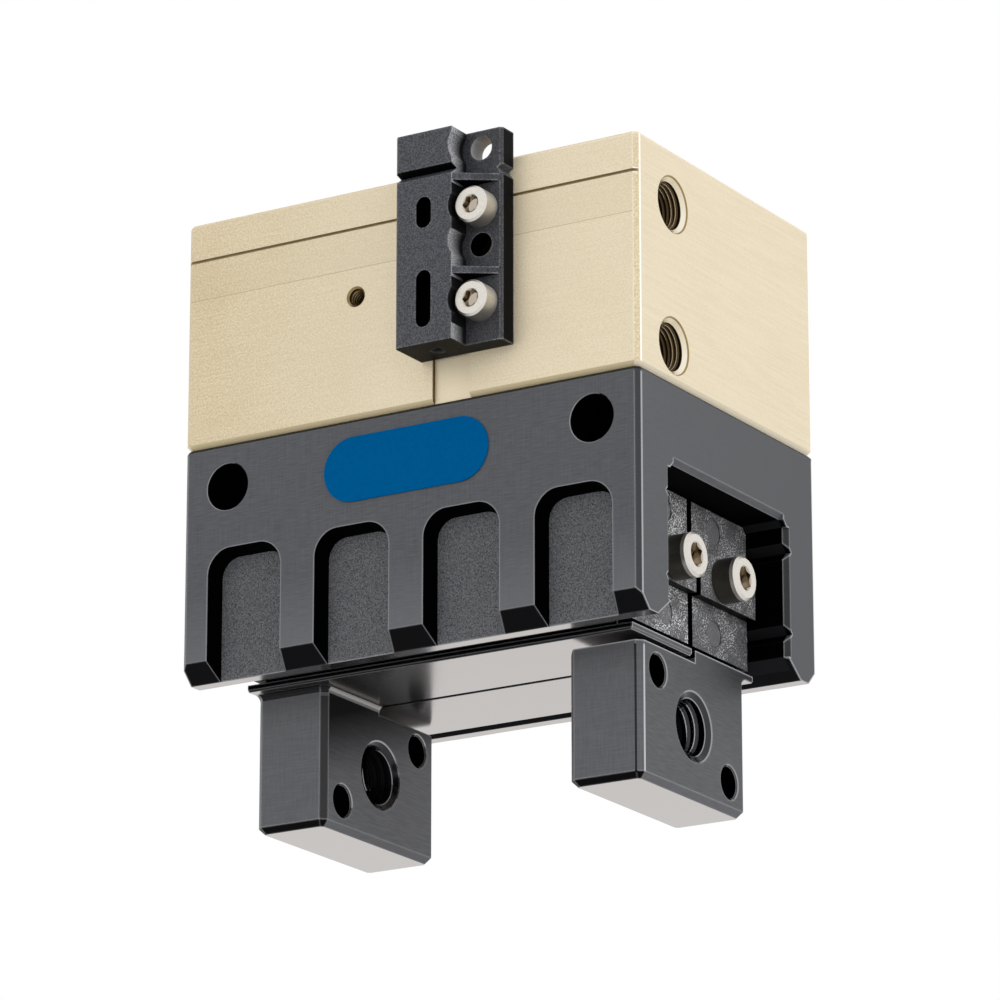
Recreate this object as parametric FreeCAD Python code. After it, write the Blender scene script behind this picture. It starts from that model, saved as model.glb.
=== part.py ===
import FreeCAD, Part
import math
import os

# Pneumatic parallel gripper with two jaws, at its closed position.
# Millimetres. The origin is the centre of the top mounting face, +Z points up,
# the jaws travel along X, and the front with the sensor bracket faces -Y.

# Overall body
BODY_LENGTH = 100.0
BODY_DEPTH = 66.0
CORNER_CHAMFER = 1.0

# Cylinder body, a cup that opens downwards
CYLINDER_ROOF = 8.5
BORE_LENGTH = 62.0
BORE_WIDTH = 42.0
TOP_EDGE_CHAMFER = 0.5
JOINT_EDGE_CHAMFER = 1.0
SHADOW_GROOVE_DROP = 7.4
SHADOW_GROOVE_HEIGHT = 0.6
SHADOW_GROOVE_DEPTH = 0.8
CABLE_CHANNEL_X = 9.7
CABLE_CHANNEL_WIDTH = 8.1
CABLE_CHANNEL_DEPTH = 1.0
CABLE_CHANNEL_HEIGHT = 20.0

# Air ports in the +X end face
PORT_INSET = 13.0
PORT_UPPER_DROP = 10.7
PORT_LOWER_RISE = 7.2
PORT_THREAD_RADIUS = 4.57
PORT_THREAD_DEPTH = 8.0
PORT_MOUTH_RADIUS = 5.6
PORT_MOUTH_DEPTH = 1.0
AIRWAY_RADIUS = 1.2

# Cylinder base, the bulkhead that closes the bore
BASE_THICKNESS = 6.0
BASE_LEDGE = 0.8
BASE_SEAL_HEIGHT = 2.0
BASE_SEAL_DEPTH = 1.6
ROD_SEAL_WALL = 1.0
ROD_SEAL_HEIGHT = 2.4
ROD_SEAL_WIDTH = 2.4
ROD_BUSH_HEIGHT = 2.0
ROD_BUSH_WALL = 1.5

# Piston, its travel and its rings
PISTON_STROKE = 16.0
PISTON_THICKNESS = 8.0
PISTON_LOWER_BOSS = 4.0
PISTON_UPPER_BOSS = 2.5
PISTON_BOSS_INSET = 4.0
PISTON_LAND = 1.0
MAGNET_HEIGHT = 2.0
MAGNET_INSET = 0.4
PISTON_SEAL_HEIGHT = 3.0
RING_DEPTH = 2.6

# Rod, wedge hook and their screw
ROD_RADIUS = 5.0
ROD_SPIGOT = 3.0
HOOK_WIDTH = 20.0
HOOK_THICKNESS = 11.0
HOOK_RIB_MARGIN = 1.0
HOOK_NECK_WIDTH = 4.0
HOOK_NECK_HEIGHT = 2.0
HOOK_HEAD_WIDTH = 7.0
HOOK_HEAD_HEIGHT = 2.0
PISTON_SCREW_SIZE = 6.0
PISTON_SCREW_LENGTH = 18.0

# Guide housing
HOUSING_HEIGHT = 45.5
HOUSING_ROOF = 15.4
HOUSING_EDGE_CHAMFER = 0.5
CHANNEL_HALF_WIDTH = 21.9
CHANNEL_CORNER = 1.2
CHANNEL_END_BEVEL = 1.0
TOOTH_DROP = 5.9
TOOTH_PITCH = 16.0
TOOTH_COUNT = 2
TOOTH_DEPTH = 1.6
FOOT_CHAMFER = 3.5
MOUTH_WIDENING = 4.8
MOUTH_HEIGHT = 3.6
POCKET_COUNT = 4
POCKET_PITCH = 24.0
POCKET_WIDTH = 16.5
POCKET_HEIGHT = 25.0
POCKET_DEPTH = 3.6
POCKET_DRAFT = 0.28
POCKET_CORNER = 5.0
SIDE_BORE_INSET = 10.0
SIDE_BORE_DROP = 8.5
SIDE_BORE_RADIUS = 4.5
SIDE_BORE_CHAMFER = 0.25

# Jaws
JAW_STROKE = 8.0
JAW_END_RECESS = 8.0
JAW_BODY_RECESS = 11.5
JAW_SPLIT = 1.3
JAW_PROUD = 0.5
JAW_FLANGE_HALF_WIDTH = 22.3
JAW_FLANGE_THICKNESS = 1.3
JAW_FLANGE_CHAMFER = 0.4
JAW_FLOOR = 3.8
FINGER_THICKNESS = 15.5
FINGER_HALF_DEPTH = 19.2
FINGER_HEIGHT = 26.9
FINGER_CHAMFER = 1.2
FINGER_FILLET = 1.25
FINGER_UNDERPASS = 1.1
FINGER_CROWN = 1.2
FINGER_HOLE_DROP = 13.4
FINGER_THREAD_RADIUS = 5.4
FINGER_MOUTH_RADIUS = 6.8
FINGER_MOUTH_DEPTH = 0.9
FINGER_DOWEL_RADIUS = 3.0
FINGER_DOWEL_ACROSS = 13.0
FINGER_DOWEL_RISE = 7.7
FINGER_DOWEL_CHAMFER = 0.4

# End caps of the jaws
CAP_THICKNESS = 2.85
CAP_BAND = 1.9
CAP_BAND_DROP = 9.9
CAP_BAND_HEIGHT = 8.8
CAP_SPLIT = 1.7
CAP_LIFT = 1.0
CAP_SIDE_GAP = 0.4
CAP_SCREW_SIZE = 5.0
CAP_SCREW_LENGTH = 16.0
CAP_SCREW_Y = 9.1
CAP_SCREW_DROP = 14.2
CAP_MARK_RADIUS = 2.5
CAP_MARK_STEP = 9.9
CAP_MARK_DEPTH = 0.15

# Sensor bracket on the front
BRACKET_LEFT = 3.3
BRACKET_PLATE_WIDTH = 12.3
BRACKET_WIDTH = 20.1
BRACKET_THICKNESS = 9.3
BRACKET_LEDGE_THICKNESS = 4.1
BRACKET_TOP = 4.6
BRACKET_HEIGHT = 41.6
BRACKET_EDGE = 0.5
BRACKET_NOTCH_DROP = 8.2
BRACKET_NOTCH_HEIGHT = 2.1
BRACKET_NOTCH_DEPTH = 2.0
BRACKET_HOLE_INSET = 4.5
BRACKET_HOLE_RADIUS = 2.3
BRACKET_HOLE_DROPS = (3.5, 22.5)
BRACKET_PIN_DEPTH = 6.0
BRACKET_SCREW_DROPS = (15.6, 34.0)
BRACKET_SCREW_SIZE = 4.0
BRACKET_SCREW_LENGTH = 12.0
BRACKET_SCALLOP = 4.1
BRACKET_RIB_DROPS = (9.2, 27.5)
BRACKET_RIB_HEIGHT = 1.4
BRACKET_RIB_SINK = 0.3
BRACKET_SLOT_INSET = 6.2
BRACKET_SLOT_WIDTH = 3.3
BRACKET_SLOTS = ((12.9, 6.1), (27.3, 11.1))
SENSOR_BORE_RADIUS = 1.25
SENSOR_BORE_DEPTH = 31.0
SENSOR_BORE_BACK = 4.2
GRUB_SCREW_LENGTH = 4.0
GRUB_SCREW_SINK = 0.4
GRUB_SOCKET = 1.3

# Plain label plate on the front of the guide housing
LABEL_X = 0.0
LABEL_LENGTH = 36.0
LABEL_HEIGHT = 12.6
LABEL_DROP = 9.8
LABEL_THICKNESS = 0.3

# Screws, dowels and mounting holes
HOUSING_SCREW_SIZE = 5.0
HOUSING_SCREW_X = 30.0
HOUSING_SCREW_INSET = 6.0
HOUSING_SCREW_GRIP = 10.0
HOUSING_SCREW_SINK = 0.5
DOWEL_RADIUS = 2.5
DOWEL_LENGTH = 12.0
DOWEL_X = 18.0
DOWEL_INSET = 6.0
MOUNT_THREAD_RADIUS = 2.5
MOUNT_THREAD_DEPTH = 12.0
MOUNT_INSET = 10.0
MOUNT_Y = 10.0
MOUNT_DOWEL_RADIUS = 3.0
MOUNT_DOWEL_DEPTH = 8.0
MOUNT_DOWEL_Y = 22.0
FRONT_THREAD_X = -11.4
FRONT_THREAD_DROP = 21.3
FRONT_THREAD_RADIUS = 1.65
FRONT_THREAD_DEPTH = 7.0

# Clearances
STOP_GAP = 0.1
HEAD_ROOM = 0.4
PISTON_GAP = 0.15
RING_GAP = 0.05
ROD_GAP = 0.05
GUIDE_GAP = 0.2
JAW_TOP_GAP = 0.4
HOOK_GAP = 0.15
WELL_GAP = 1.0
POCKET_GAP = 0.4
SCREW_GAP = 0.25
THREAD_GAP = 0.05
SEAT_GAP = 0.05
CUT = 1.0

# Levels worked out from the stack of pieces, top face at zero
HALF_LENGTH = BODY_LENGTH / 2
JAW_LENGTH = BODY_LENGTH - 2 * JAW_END_RECESS
JAW_BODY_LENGTH = BODY_LENGTH - 2 * JAW_BODY_RECESS
HALF_DEPTH = BODY_DEPTH / 2
FRONT = -HALF_DEPTH
CHAMBER_TOP = -CYLINDER_ROOF
PISTON_HEIGHT = PISTON_UPPER_BOSS + PISTON_THICKNESS + PISTON_LOWER_BOSS
PISTON_TOP = CHAMBER_TOP - HEAD_ROOM - PISTON_STROKE
PISTON_BOTTOM = PISTON_TOP - PISTON_HEIGHT
BASE_TOP = PISTON_BOTTOM - STOP_GAP
JOINT = BASE_TOP - BASE_THICKNESS
HOUSING_BOTTOM = JOINT - HOUSING_HEIGHT
CHANNEL_TOP = JOINT - HOUSING_ROOF
JAW_TOP = CHANNEL_TOP - JAW_TOP_GAP
JAW_BOTTOM = HOUSING_BOTTOM - JAW_PROUD
HOOK_TOP = JOINT - HEAD_ROOM - PISTON_STROKE
HOOK_BOTTOM = JAW_BOTTOM + JAW_FLOOR + POCKET_GAP
WEDGE_SLOPE = JAW_STROKE / PISTON_STROKE
TOOTH_LEVELS = [CHANNEL_TOP - TOOTH_DROP - TOOTH_PITCH * i for i in range(TOOTH_COUNT)]
CAP_SCREW_LEVEL = CHANNEL_TOP - CAP_SCREW_DROP

# Socket cap screws, worked out from the thread size
SCREW_HEAD_RATIO = 1.5
SCREW_HEAD_EXTRA = 1.0
SCREW_SOCKET_LESS = 1.0
SCREW_SOCKET_DEPTH_RATIO = 0.5
SCREW_EDGE_RATIO = 0.1
SCREW_MOUTH_RATIO = 1.06
SCREW_PILOT_RATIO = 0.2

UP = FreeCAD.Vector(0, 0, 1)
RIGHT = FreeCAD.Vector(1, 0, 0)
BACK = FreeCAD.Vector(0, 1, 0)


def vec(x, y, z):
    return FreeCAD.Vector(x, y, z)


# Basic solids

def box(x0, x1, y0, y1, z0, z1):
    return Part.makeBox(x1 - x0, y1 - y0, z1 - z0, vec(x0, y0, z0))


def cylinder(radius, start, direction, length):
    return Part.makeCylinder(radius, length, start, direction)


def ring(outer, inner, z0, z1):
    tube = cylinder(outer, vec(0, 0, z0), UP, z1 - z0)
    return tube.cut(cylinder(inner, vec(0, 0, z0), UP, z1 - z0))


def prism(corners, travel):
    face = Part.Face(Part.makePolygon(corners + corners[:1]))
    return face.extrude(travel)


def prism_x(outline, x0, x1):
    return prism([vec(x0, y, z) for y, z in outline], vec(x1 - x0, 0, 0))


def prism_y(outline, y0, y1):
    return prism([vec(x, y0, z) for x, z in outline], vec(0, y1 - y0, 0))


def prism_z(outline, z0, z1):
    return prism([vec(x, y, z0) for x, y in outline], vec(0, 0, z1 - z0))


def oval(length, width, z0, z1):
    """A flat-sided round-ended block, long along X."""
    reach = length / 2 - width / 2
    middle = box(-reach, reach, -width / 2, width / 2, z0, z1)
    ends = [cylinder(width / 2, vec(side * reach, 0, z0), UP, z1 - z0) for side in (-1, 1)]
    return middle.fuse(ends).removeSplitter()


def oval_ring(length, width, depth, z0, z1):
    return oval(length, width, z0, z1).cut(oval(length - 2 * depth, width - 2 * depth, z0, z1))


def slot_y(x, z_top, height, width, y0, y1):
    """A round-ended upright slot, driven along Y."""
    radius = width / 2
    body = box(x - radius, x + radius, y0, y1, z_top - height + radius, z_top - radius)
    ends = [cylinder(radius, vec(x, y0, z), BACK, y1 - y0)
            for z in (z_top - radius, z_top - height + radius)]
    return body.fuse(ends)


def funnel(mouth_radius, radius, start, direction, depth):
    return Part.makeCone(mouth_radius, radius, depth, start, direction)


def hexagon(across_flats, z0, z1):
    radius = across_flats / math.sqrt(3)
    turns = [math.pi / 3 * i for i in range(6)]
    return prism_z([(radius * math.cos(a), radius * math.sin(a)) for a in turns], z0, z1)


def turned(shape, angle):
    """A copy turned about the vertical axis through the origin."""
    copy = shape.copy()
    copy.rotate(vec(0, 0, 0), UP, angle)
    return copy


def placed(shape, position, direction):
    """A copy of a piece made along +Z, aimed along a direction and moved to its place."""
    copy = shape.copy()
    copy.Placement = FreeCAD.Placement(position, FreeCAD.Rotation(UP, direction))
    return copy


def cut_all(shape, tools):
    return shape.cut(tools).removeSplitter()


def edges_at(shape, level):
    """The edges that lie in one level plane."""
    def lies_level(edge):
        return all(abs(v.Z - level) < 1e-6 for v in edge.Vertexes)
    return [edge for edge in shape.Edges if lies_level(edge)]


def head_radius(size):
    return (size * SCREW_HEAD_RATIO + SCREW_HEAD_EXTRA) / 2


def cap_screw(size, length):
    """A socket cap screw: the head stands on z = 0, the shank hangs below."""
    head = cylinder(head_radius(size), vec(0, 0, 0), UP, size)
    head = head.makeChamfer(size * SCREW_EDGE_RATIO, edges_at(head, size))
    floor = size - size * SCREW_SOCKET_DEPTH_RATIO
    across = size - SCREW_SOCKET_LESS
    half, corner = across / 2, across / math.sqrt(3) * SCREW_MOUTH_RATIO
    socket = hexagon(across, floor, size + CUT)
    bevel = funnel(corner, half, vec(0, 0, size), -UP, corner - half)
    pilot = funnel(half * 0.98, half * 0.1, vec(0, 0, floor), -UP, across * SCREW_PILOT_RATIO)
    shank = cylinder(size / 2, vec(0, 0, -length), UP, length)
    return head.cut([socket, bevel, pilot]).fuse(shank).removeSplitter()


def chamfered_block(z0, z1):
    """The outer block of the body with its four upright edges broken."""
    x, y, c = HALF_LENGTH, HALF_DEPTH, CORNER_CHAMFER
    outline = [(-x + c, -y), (x - c, -y), (x, -y + c), (x, y - c),
               (x - c, y), (-x + c, y), (-x, y - c), (-x, -y + c)]
    return prism_z(outline, z0, z1)


# Places shared by several pieces

def housing_screw_places():
    y = HALF_DEPTH - HOUSING_SCREW_INSET
    return [(sx * HOUSING_SCREW_X, sy * y) for sx in (-1, 1) for sy in (-1, 1)]


def dowel_places():
    y = HALF_DEPTH - DOWEL_INSET
    return [(DOWEL_X, -y), (-DOWEL_X, y)]


def bracket_screw_places():
    x = BRACKET_LEFT + BRACKET_WIDTH - BRACKET_HOLE_INSET
    return [(x, BRACKET_TOP - drop) for drop in BRACKET_SCREW_DROPS]


# Cylinder body

def port_tools():
    tools = []
    y = FRONT + PORT_INSET
    for z in (-PORT_UPPER_DROP, JOINT + PORT_LOWER_RISE):
        mouth = vec(HALF_LENGTH, y, z)
        tools.append(cylinder(PORT_THREAD_RADIUS, mouth, -RIGHT, PORT_THREAD_DEPTH))
        tools.append(funnel(PORT_MOUTH_RADIUS, PORT_THREAD_RADIUS, mouth, -RIGHT, PORT_MOUTH_DEPTH))
        tools.append(cylinder(AIRWAY_RADIUS, mouth, -RIGHT, HALF_LENGTH - BORE_LENGTH / 2 + BORE_WIDTH / 2))
    return tools


def mounting_tools():
    tools = []
    x = HALF_LENGTH - MOUNT_INSET
    for sx in (-1, 1):
        for sy in (-1, 1):
            mouth = vec(sx * x, sy * MOUNT_Y, 0)
            tools.append(cylinder(MOUNT_THREAD_RADIUS, mouth, -UP, MOUNT_THREAD_DEPTH))
        mouth = vec(sx * x, sx * MOUNT_DOWEL_Y, 0)
        tools.append(cylinder(MOUNT_DOWEL_RADIUS, mouth, -UP, MOUNT_DOWEL_DEPTH))
    return tools


def make_cylinder_body():
    block = chamfered_block(JOINT, 0)
    block = block.makeChamfer(TOP_EDGE_CHAMFER, edges_at(block, 0))
    block = block.makeChamfer(JOINT_EDGE_CHAMFER, edges_at(block, JOINT))
    tools = [oval(BORE_LENGTH, BORE_WIDTH, JOINT - CUT, CHAMBER_TOP)]
    seat = (BORE_LENGTH + 2 * BASE_LEDGE, BORE_WIDTH + 2 * BASE_LEDGE)
    tools.append(oval(seat[0], seat[1], JOINT - CUT, BASE_TOP))
    groove_top = -SHADOW_GROOVE_DROP
    for side in (-1, 1):
        face = side * HALF_DEPTH
        floor = face - side * SHADOW_GROOVE_DEPTH
        y0, y1 = sorted((face + side * CUT, floor))
        tools.append(box(-HALF_LENGTH - CUT, HALF_LENGTH + CUT, y0, y1,
                         groove_top - SHADOW_GROOVE_HEIGHT, groove_top))
    half = CABLE_CHANNEL_WIDTH / 2
    tools.append(box(CABLE_CHANNEL_X - half, CABLE_CHANNEL_X + half,
                     FRONT - CUT, FRONT + CABLE_CHANNEL_DEPTH,
                     JOINT - CUT, JOINT + CABLE_CHANNEL_HEIGHT))
    tools += port_tools() + mounting_tools()
    sink = HOUSING_SCREW_SIZE + HOUSING_SCREW_SINK
    for x, y in housing_screw_places():
        tools.append(cylinder(HOUSING_SCREW_SIZE / 2 + SCREW_GAP, vec(x, y, 0), -UP, -JOINT + CUT))
        tools.append(cylinder(head_radius(HOUSING_SCREW_SIZE) + SCREW_GAP, vec(x, y, 0), -UP, sink))
    for x, y in dowel_places():
        tools.append(cylinder(DOWEL_RADIUS, vec(x, y, JOINT), UP, DOWEL_LENGTH / 2))
    reach = BRACKET_SCREW_LENGTH - BRACKET_LEDGE_THICKNESS + CUT
    for x, z in bracket_screw_places():
        tools.append(cylinder(BRACKET_SCREW_SIZE / 2 + THREAD_GAP, vec(x, FRONT, z), BACK, reach))
    pin_hole = vec(bracket_screw_places()[0][0], FRONT, BRACKET_TOP - BRACKET_HOLE_DROPS[1])
    tools.append(cylinder(BRACKET_HOLE_RADIUS, pin_hole, BACK, BRACKET_PIN_DEPTH))
    front_thread = vec(FRONT_THREAD_X, FRONT, -FRONT_THREAD_DROP)
    tools.append(cylinder(FRONT_THREAD_RADIUS, front_thread, BACK, FRONT_THREAD_DEPTH))
    tools.append(funnel(FRONT_THREAD_RADIUS * 1.25, FRONT_THREAD_RADIUS, front_thread, BACK,
                        FRONT_THREAD_RADIUS * 0.25))
    return cut_all(block, tools)


# Cylinder base with its seals and bush

def base_outline():
    grow = 2 * (BASE_LEDGE - SEAT_GAP)
    return BORE_LENGTH + grow, BORE_WIDTH + grow


def base_seal_levels():
    middle = (BASE_TOP + JOINT) / 2
    return middle - BASE_SEAL_HEIGHT / 2, middle + BASE_SEAL_HEIGHT / 2


def rod_seal_levels():
    top = BASE_TOP - ROD_SEAL_WALL
    return top - ROD_SEAL_HEIGHT, top


def make_cylinder_base():
    length, width = base_outline()
    plate = oval(length, width, JOINT, BASE_TOP)
    seal_low, seal_high = base_seal_levels()
    groove = oval(length + CUT, width + CUT, seal_low, seal_high)
    core = oval(length - 2 * BASE_SEAL_DEPTH, width - 2 * BASE_SEAL_DEPTH, seal_low, seal_high)
    low, high = rod_seal_levels()
    tools = [groove.cut(core)]
    tools.append(cylinder(ROD_RADIUS + SCREW_GAP, vec(0, 0, JOINT - CUT), UP, BASE_THICKNESS + 2 * CUT))
    tools.append(cylinder(ROD_RADIUS + ROD_SEAL_WIDTH, vec(0, 0, low), UP, high - low))
    tools.append(cylinder(ROD_RADIUS + ROD_BUSH_WALL, vec(0, 0, JOINT), UP, ROD_BUSH_HEIGHT))
    return cut_all(plate, tools)


def make_base_seal():
    low, high = base_seal_levels()
    length, width = base_outline()
    return oval_ring(length + SEAT_GAP, width + SEAT_GAP, BASE_SEAL_DEPTH + SEAT_GAP / 2, low, high)


def make_rod_seal():
    low, high = rod_seal_levels()
    return ring(ROD_RADIUS + ROD_SEAL_WIDTH, ROD_RADIUS + ROD_GAP, low, high)


def make_rod_bush():
    return ring(ROD_RADIUS + ROD_BUSH_WALL, ROD_RADIUS + ROD_GAP, JOINT, JOINT + ROD_BUSH_HEIGHT)


# Piston with its rings, and the screw that holds the wedge hook

def piston_outline():
    return BORE_LENGTH - 2 * PISTON_GAP, BORE_WIDTH - 2 * PISTON_GAP


def magnet_levels():
    top = PISTON_TOP - PISTON_UPPER_BOSS - PISTON_LAND
    return top - MAGNET_HEIGHT, top


def piston_seal_levels():
    top = magnet_levels()[0] - PISTON_LAND
    return top - PISTON_SEAL_HEIGHT, top


def piston_screw_seat():
    return PISTON_TOP - PISTON_SCREW_SIZE - STOP_GAP


def make_piston():
    length, width = piston_outline()
    inset = 2 * PISTON_BOSS_INSET
    boss = oval(length - inset, width - inset, PISTON_BOTTOM, PISTON_TOP)
    disc_low = PISTON_BOTTOM + PISTON_LOWER_BOSS
    disc = oval(length, width, disc_low, disc_low + PISTON_THICKNESS)
    tools = []
    for low, high in (magnet_levels(), piston_seal_levels()):
        core = oval(length - 2 * RING_DEPTH, width - 2 * RING_DEPTH, low, high)
        tools.append(oval(length + CUT, width + CUT, low, high).cut(core))
    tools.append(cylinder(ROD_RADIUS + SEAT_GAP, vec(0, 0, PISTON_BOTTOM), UP, ROD_SPIGOT))
    tools.append(cylinder(PISTON_SCREW_SIZE / 2 + SCREW_GAP, vec(0, 0, PISTON_BOTTOM), UP, PISTON_HEIGHT))
    seat = vec(0, 0, piston_screw_seat())
    tools.append(cylinder(head_radius(PISTON_SCREW_SIZE) + SCREW_GAP, seat, UP, PISTON_SCREW_SIZE + CUT))
    return cut_all(boss.fuse(disc), tools)


def make_piston_seal():
    low, high = piston_seal_levels()
    grow = 2 * (PISTON_GAP - RING_GAP)
    length, width = piston_outline()
    return oval_ring(length + grow, width + grow, RING_DEPTH + grow / 2, low, high)


def make_piston_magnet():
    low, high = magnet_levels()
    length, width = piston_outline()
    inset = 2 * MAGNET_INSET
    return oval_ring(length - inset, width - inset, RING_DEPTH - MAGNET_INSET, low, high)


def make_piston_screw():
    return placed(cap_screw(PISTON_SCREW_SIZE, PISTON_SCREW_LENGTH), vec(0, 0, piston_screw_seat()), UP)


# Wedge hook: a plate on the rod with one slanted T rib on each flat side

def slanted(width, low, high, lean, y0, y1):
    """A slanted bar in the X and Z plane that leans by the wedge slope."""
    middle = (HOOK_TOP + HOOK_BOTTOM) / 2
    bottom_x = lean * WEDGE_SLOPE * (low - middle)
    top_x = lean * WEDGE_SLOPE * (high - middle)
    half = width / 2
    outline = [(bottom_x - half, low), (bottom_x + half, low), (top_x + half, high), (top_x - half, high)]
    return prism_y(outline, y0, y1)


def hook_rib(side, low, high, gap):
    """The T rib on one side of the hook, or with a gap the groove it runs in."""
    lean = -side
    face = HOOK_THICKNESS / 2
    neck_out = face + HOOK_NECK_HEIGHT
    head_out = neck_out + HOOK_HEAD_HEIGHT
    neck_y = sorted((side * (face - CUT), side * (neck_out + gap)))
    head_y = sorted((side * (neck_out - gap), side * (head_out + gap)))
    neck = slanted(HOOK_NECK_WIDTH + 2 * gap, low, high, lean, neck_y[0], neck_y[1])
    head = slanted(HOOK_HEAD_WIDTH + 2 * gap, low, high, lean, head_y[0], head_y[1])
    return neck.fuse(head)


def make_wedge_hook():
    half_width, half_thick = HOOK_WIDTH / 2, HOOK_THICKNESS / 2
    plate = box(-half_width, half_width, -half_thick, half_thick, HOOK_BOTTOM, HOOK_TOP)
    rod_top = PISTON_BOTTOM + ROD_SPIGOT
    rod = cylinder(ROD_RADIUS, vec(0, 0, HOOK_TOP - CUT), UP, rod_top - HOOK_TOP + CUT)
    low, high = HOOK_BOTTOM + HOOK_RIB_MARGIN, HOOK_TOP - HOOK_RIB_MARGIN
    ribs = [hook_rib(side, low, high, 0) for side in (-1, 1)]
    hook = plate.fuse([rod] + ribs)
    thread_end = piston_screw_seat() - PISTON_SCREW_LENGTH - CUT
    thread = cylinder(PISTON_SCREW_SIZE / 2 + THREAD_GAP, vec(0, 0, thread_end), UP, rod_top - thread_end)
    return cut_all(hook, [thread])


# Guide housing

def pocket_wire(x, depth):
    """The pocket's outline at one depth: arched top, open below the foot, walls with draft."""
    draft = POCKET_DRAFT * depth
    half = POCKET_WIDTH / 2 - draft
    top = HOUSING_BOTTOM + POCKET_HEIGHT - draft
    bottom = HOUSING_BOTTOM - CUT
    r = POCKET_CORNER - draft
    y = FRONT + depth
    bend = r * (1 - math.sqrt(0.5))
    left, right = x - half, x + half
    corners = [vec(left, y, bottom), vec(left, y, top - r), vec(left + r, y, top),
               vec(right - r, y, top), vec(right, y, top - r), vec(right, y, bottom)]
    edges = [Part.makeLine(corners[0], corners[1]),
             Part.Arc(corners[1], vec(left + bend, y, top - bend), corners[2]).toShape(),
             Part.makeLine(corners[2], corners[3]),
             Part.Arc(corners[3], vec(right - bend, y, top - bend), corners[4]).toShape(),
             Part.makeLine(corners[4], corners[5]),
             Part.makeLine(corners[5], corners[0])]
    return Part.Wire(edges)


def pocket_tools():
    tools = []
    first = -POCKET_PITCH * (POCKET_COUNT - 1) / 2
    for i in range(POCKET_COUNT):
        x = first + POCKET_PITCH * i
        pocket = Part.makeLoft([pocket_wire(x, -CUT), pocket_wire(x, POCKET_DEPTH)], True, True)
        tools += [pocket, turned(pocket, 180)]
    return tools


def tooth_outline(root, level):
    """A right-angled tooth, its root on a wall at y = root."""
    return [(root - TOOTH_DEPTH, level - 2 * TOOTH_DEPTH), (root + TOOTH_DEPTH, level),
            (root - TOOTH_DEPTH, level + 2 * TOOTH_DEPTH)]


def channel_tools():
    w, c, end = CHANNEL_HALF_WIDTH, CHANNEL_CORNER, HALF_LENGTH + CUT
    below = HOUSING_BOTTOM - CUT
    tunnel = [(-w, below), (-w, CHANNEL_TOP - c), (-w + c, CHANNEL_TOP),
              (w - c, CHANNEL_TOP), (w, CHANNEL_TOP - c), (w, below)]
    wide = w + MOUTH_WIDENING
    mouth = [(-w, HOUSING_BOTTOM + MOUTH_HEIGHT), (-wide, HOUSING_BOTTOM), (-wide, below),
             (wide, below), (wide, HOUSING_BOTTOM), (w, HOUSING_BOTTOM + MOUTH_HEIGHT)]
    tools = [prism_x(tunnel, -end, end), prism_x(mouth, -end, end)]
    for level in TOOTH_LEVELS:
        groove = prism_x(tooth_outline(w, level), -end, end)
        tools += [groove, turned(groove, 180)]
    return tools


def channel_bevel_tools():
    """Bevels on the roof and wall edges where the channel leaves each end face."""
    b, w, x = CHANNEL_END_BEVEL, CHANNEL_HALF_WIDTH, HALF_LENGTH
    roof = prism_y([(x - b, CHANNEL_TOP), (x, CHANNEL_TOP), (x, CHANNEL_TOP + b)],
                   -w + CHANNEL_CORNER, w - CHANNEL_CORNER)
    foot = HOUSING_BOTTOM + MOUTH_HEIGHT
    walls = [prism_z([(x - b, s * w), (x, s * w), (x, s * (w + b))], foot, CHANNEL_TOP - CHANNEL_CORNER)
             for s in (-1, 1)]
    tools = [roof] + walls
    return tools + [turned(tool, 180) for tool in tools]


def foot_tools():
    end, reach = HALF_LENGTH + CUT, FOOT_CHAMFER + CUT
    outline = [(HALF_DEPTH - FOOT_CHAMFER - CUT, HOUSING_BOTTOM - CUT),
               (HALF_DEPTH + CUT, HOUSING_BOTTOM + reach), (HALF_DEPTH + CUT, HOUSING_BOTTOM - CUT)]
    wedge = prism_x(outline, -end, end)
    return [wedge, turned(wedge, 180)]


def side_bore_tools():
    tools = []
    z = JOINT - SIDE_BORE_DROP
    wide = SIDE_BORE_RADIUS + SIDE_BORE_CHAMFER
    for side in (-1, 1):
        x = side * (HALF_LENGTH - SIDE_BORE_INSET)
        tools.append(cylinder(SIDE_BORE_RADIUS, vec(x, FRONT - CUT, z), BACK, BODY_DEPTH + 2 * CUT))
        for y, direction in ((FRONT, BACK), (-FRONT, -BACK)):
            tools.append(funnel(wide, SIDE_BORE_RADIUS, vec(x, y, z), direction, SIDE_BORE_CHAMFER))
    return tools


def make_guide_housing():
    block = chamfered_block(HOUSING_BOTTOM, JOINT)
    block = block.makeChamfer(HOUSING_EDGE_CHAMFER, edges_at(block, JOINT))
    tools = channel_tools() + channel_bevel_tools() + foot_tools() + pocket_tools() + side_bore_tools()
    well_x = max(HOOK_WIDTH / 2, ROD_RADIUS) + WELL_GAP
    well_y = max(HOOK_THICKNESS / 2 + HOOK_NECK_HEIGHT + HOOK_HEAD_HEIGHT, ROD_RADIUS) + WELL_GAP
    tools.append(box(-well_x, well_x, -well_y, well_y, CHANNEL_TOP - CUT, JOINT + CUT))
    for x, y in housing_screw_places():
        tools.append(cylinder(HOUSING_SCREW_SIZE / 2 + THREAD_GAP, vec(x, y, JOINT), -UP,
                              HOUSING_SCREW_GRIP + CUT))
    for x, y in dowel_places():
        tools.append(cylinder(DOWEL_RADIUS, vec(x, y, JOINT), -UP, DOWEL_LENGTH / 2))
    return cut_all(block, tools)


# Jaws: the rear one carries the finger at +X, the front one is the same piece turned half round

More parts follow.
